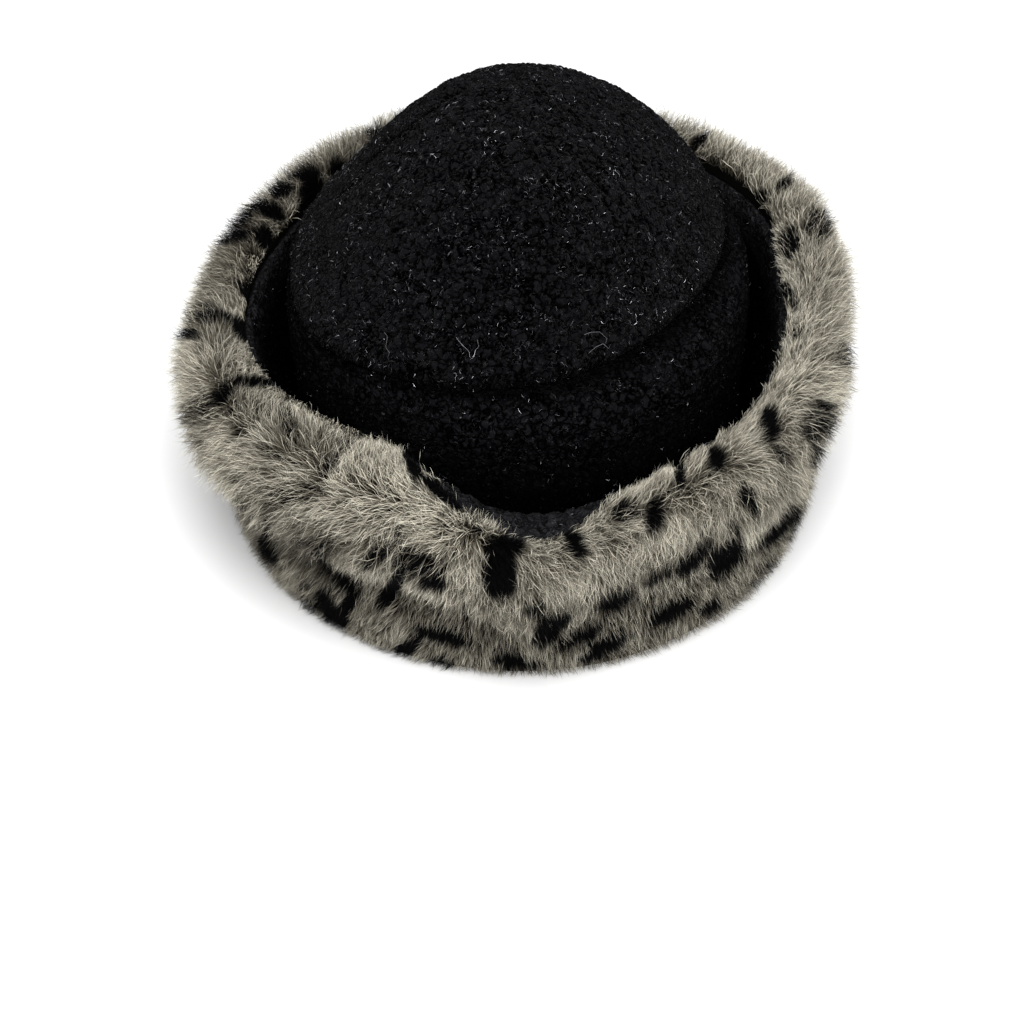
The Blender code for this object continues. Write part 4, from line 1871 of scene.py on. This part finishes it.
    def _sample(self, field: np.ndarray, row: Values, column: Values) -> Places:
        """Reads a swept field between its rows and columns.

        Args:
            field: A grid of vectors over the fur's backing.
            row: Rows of the grid.
            column: Columns of the grid.

        Returns:
            One vector for each row and column.
        """
        low_row = np.clip(np.floor(row).astype(int), 0, field.shape[0] - 2)
        low_column = np.clip(np.floor(column).astype(int), 0, field.shape[1] - 2)
        down, over = (row - low_row)[:, None], (column - low_column)[:, None]
        upper = mix(field[low_row, low_column], field[low_row, low_column + 1], over)
        lower = mix(field[low_row + 1, low_column], field[low_row + 1, low_column + 1], over)
        return mix(upper, lower, down)

    def _column(self, ring: Values, name: str) -> Values:
        """Reads a column of the fur rows at any ring."""
        table = [getattr(row, name) for row in ROLL_ROWS + HEM_ROWS]
        return np.interp(ring, np.arange(len(table)), table)

    def _grow(self, zone: PileZone, fur: bpy.types.Material) -> None:
        """Grows one stretch of the fur.

        Args:
            zone: The stretch.
            fur: The hair's material.
        """
        chance, count, rule = self.chance, zone.hairs, self.growth
        first, last = np.interp([zone.first, zone.last], self.ring_at, np.arange(self.rows))
        index = np.arange(count)
        row = mix(first, last, (0.5 + EVEN_STEPS[0] * index) % 1.0)
        column = (0.5 + EVEN_STEPS[1] * index) % 1.0 * self.columns
        row = np.clip(row + chance.normal(0, rule.root_spread, count), first, last)
        column = (column + chance.normal(0, rule.root_spread, count)) % self.columns
        root = self._sample(self.grid, row, column)
        normal = unit(self._sample(self.normals, row, column))
        down = unit(self._sample(self.down, row, column))
        beside = np.cross(normal, down)
        ring = np.interp(row, np.arange(self.rows), self.ring_at)
        swirl, ripple = drift(root, rule.swirl_size, 17), drift(root, rule.ripple_size, 19)
        parted = ring - rule.parting + rule.parting_swirl * swirl[:, 0]
        comb = (2 * smooth_share(parted, -rule.parting_width, rule.parting_width) - 1)[:, None]
        lean = self._column(ring, "lean")[:, None] * (1 + rule.lean_swirl * swirl[:, 2:])
        length = self._column(ring, "length")
        length = length * (1 + rule.patch_length * drift(root, rule.patch_size, 41)[:, 0])
        front = smooth_share(np.sin(np.radians(column * 360.0 / self.columns)), 0.2, 0.8)
        length = length * (1 + rule.front_length * front * (1 - smooth_share(ring, 0.3, 1.6)))
        length = length * chance.uniform(rule.shortest, rule.longest, count)
        tuft, lock = gather(root, rule.tuft_size, 11), gather(root, rule.lock_size, 13)
        stray = chance.normal(0, rule.stray, (count, 3))
        curl = chance.normal(0, rule.curl, (count, 3))
        way, seen = self._combed(root, normal, 1 / np.hypot(1, lean[:, 0]))
        lie = mix(comb * down + rule.swirl_turn * swirl[:, 1:2] * beside, way, seen[:, None])
        lie = lie + rule.ripple_turn * ripple[:, 1:2] * beside
        spine = [root]
        for step, share in enumerate(zone.joints):
            lying = lean * (rule.lean_at_root + rule.lean_growth * step) * lie
            heading = normal + lying + stray + curl * (2 * step - 1)
            spine.append(spine[-1] + unit(heading) * length[:, None] * share)
        spine = np.stack(spine, axis=1)
        along = np.concatenate([[0.0], np.cumsum(zone.joints)])
        together = self._flat(lock.pull, normal) * rule.lock_pull
        together = together + self._flat(tuft.pull, normal) * rule.tuft_pull
        spine += (along**rule.pull_power)[:, None] * together[:, None]
        spine = self._trimmed(spine)
        floor = rule.floor + rule.floor_spread * chance.uniform(0, 1, count)
        spine[:, :, 2] = np.maximum(spine[:, :, 2], floor[:, None])
        face = normal + rule.face_spread * chance.normal(0, 1, (count, 3))
        across = unit(np.cross(unit(spine[:, -1] - spine[:, 0]), face))
        width = rule.width / 2 * np.exp(chance.normal(0, rule.width_spread, (count, 1)))
        halves = np.stack([across * width * (1 - rule.taper * share) for share in along[:-1]], axis=1)
        printed = [self.ink_at(spine[:, step], normal) for step in range(1, len(along))]
        limits = chance.uniform(rule.least_ink, rule.most_ink, (count, 1))
        inks = (np.stack(printed, axis=1) > limits).astype(int)
        patch = drift(root, rule.patch_size, 37)[:, 0] * 0.5 + 0.5
        tone = zone.tone + rule.patch_tone * patch + chance.normal(0, rule.tone_spread, count)
        # Painted light and shade: the charted patches lighten or darken the hairs' tone, partly for the
        # fur's own tone and partly for how light falls on the roll.
        for spot, near, reach in self._charted(TONE_AND_LIGHT_PATCHES, self.view.pixels(spine[:, -1])):
            tone[near] += spot.strength * seen[near] * (1 - smooth_share(reach, 0.4, 1.4))
        tone = np.clip(tone, 0, 1)
        levels = LOOKS >> len(zone.joints)
        level = np.clip(tone * levels, 0, levels - 1).astype(int)
        looks = level + levels * (inks @ (1 << np.arange(len(along) - 1)))
        marks = {
            "ink": np.concatenate([inks[:, :1], inks], axis=1).astype(float),
            "tone": tone[:, None] * np.ones((1, len(along))),
            "along": along + np.zeros((count, 1)),
        }
        place_piece(Ribbons(spine, halves).mesh(zone.name, marks, looks), fur, self.node)

    def _flat(self, way: Places, normal: Places) -> Places:
        """Keeps what of a way lies in the backing's plane."""
        return way - np.sum(way * normal, axis=1, keepdims=True) * normal


@dataclass(frozen=True)
class SoftLight:
    """One soft box of the studio."""

    name: str
    place: tuple[float, float, float]
    aim: tuple[float, float, float]
    size: float
    power: float

    def build(self) -> None:
        """Adds the light."""
        light = bpy.data.lights.new(self.name, "AREA")
        light.shape = "DISK"
        light.size = self.size
        light.energy = self.power
        holder = add_object(light)
        holder.location = self.place
        holder.rotation_euler = (Vector(self.aim) - Vector(self.place)).to_track_quat("-Z", "Y").to_euler()


@dataclass(frozen=True)
class Studio:
    """The pale floor, the soft lights and the even light of the room."""

    floor_half: float = 6.0
    room: tuple[float, float, float] = (1.0, 1.0, 1.0)
    room_strength: float = 0.28
    lights: tuple[SoftLight, ...] = (
        SoftLight("overhead_light", (0.0, -0.1, 1.9), (0.0, 0.0, 0.08), 1.8, 19.0),
        SoftLight("camera_side_light", (0.12, -1.25, 1.7), (0.0, 0.0, 0.08), 1.6, 57.0),
    )

    def build(self) -> None:
        """Adds the floor, the lights and the room's light."""
        made = bmesh.new()
        bmesh.ops.create_grid(made, x_segments=1, y_segments=1, size=self.floor_half)
        mesh = bpy.data.meshes.new("studio_floor")
        made.to_mesh(mesh)
        made.free()
        mesh.materials.append(FloorFinish().material())
        add_object(mesh)
        for light in self.lights:
            light.build()
        world = bpy.data.worlds.new("studio_room")
        world.use_nodes = True
        background = world.node_tree.nodes["Background"]
        background.inputs["Color"].default_value = (*self.room, 1.0)
        background.inputs["Strength"].default_value = self.room_strength
        bpy.context.scene.world = world
        bpy.context.scene.view_settings.view_transform = "Standard"


def trim_cloth(
    panel: BouclePanel, cloth: Cloth, tinsel: bpy.types.Material, fuzz: bpy.types.Material
) -> None:
    """Scatters tinsel and lint on a panel.

    Args:
        panel: The panel.
        cloth: Its visible side.
        tinsel: The flecks' material.
        fuzz: The lint's material.
    """
    chance = np.random.default_rng(len(panel.node) + panel.rows)
    trim = ClothTrim()
    kinds = (
        ("tinsel", trim.flecks(cloth, panel.flecks, chance), tinsel),
        ("lint", trim.lint(cloth, panel.lint, chance), fuzz),
    )
    for kind, strips, finish in kinds:
        tone = chance.uniform(0, 1, len(strips.spine)) ** 1.5
        marks = {"tone": tone[:, None] * np.ones(strips.spine.shape[:2])}
        looks = np.clip(tone * LOOKS, 0, LOOKS - 1).astype(int)
        place_piece(strips.mesh(f"{panel.node}_{kind}", marks, looks), finish)


def lay_fibres(cloth: Cloth, view: Viewpoint, finish: bpy.types.Material) -> None:
    """Lays the charted loose fibres on the crown tip.

    Args:
        cloth: The tip's visible side.
        view: The photograph's camera.
        finish: The fibres' material.
    """
    pixels = view.pixels(cloth.places).reshape(-1, 2)
    hidden = FAR * (view.faced(cloth.places, cloth.normals).ravel() < 0.1)
    marks = np.array(LOOSE_FIBRES)
    nearest = np.argmin(np.linalg.norm(pixels - marks[:, :, None], axis=3) + hidden, axis=2)
    places, normals = cloth.places.reshape(-1, 3)[nearest], cloth.normals.reshape(-1, 3)[nearest]
    spine = places + FIBRE_LIFT * normals
    across = unit(np.cross(np.gradient(spine, axis=1), normals))[:, :-1] * FIBRE_HALF_WIDTH
    tone = np.full(spine.shape[:2], FIBRE_TONE)
    looks = np.full(len(spine), int(FIBRE_TONE * LOOKS))
    place_piece(Ribbons(spine, across).mesh("crown_tip_fibres", {"tone": tone}, looks), finish)


def main() -> None:
    """Builds the hat's looks and the studio round it."""
    logging.basicConfig(level=logging.INFO, format="%(name)s %(message)s")
    view = Viewpoint()
    view.build()
    Studio().build()
    boucle = BoucleFinish()
    lofty = BoucleFinish("lofty_black_boucle", nub=(0.0066, 0.0066, 0.0076), sheen=0.016)
    # Painted light: the facing's copy of the boucle has nubs about two and a half times as light as the
    # band's and filled hollows, for the lip lit in the rim's dip; the facing's shades paint its trough dark.
    lit_facing_boucle = BoucleFinish("lit_facing_black_boucle", nub=(0.0180, 0.0180, 0.0196), sheen=0.001, filling=0.35)
    tinsel = TinselFinish().material()
    fuzz = LintFinish().material()
    tip, band, facing = CrownTip(view=view), CrownBand(), CuffFacing()
    grids = []
    for panel, finish in ((tip, lofty), (band, boucle), (facing, lit_facing_boucle)):
        cloth = panel.build(finish.material())
        trim_cloth(panel, cloth, tinsel, fuzz)
        grids.append(cloth.places)
        if panel is tip:
            lay_fibres(cloth, view, tinsel)
    cuff = FurCuff(facing, view)
    cuff.build(HideFinish().material(), FurFinish().material(), grids[:2])


if __name__ == "__main__":
    main()
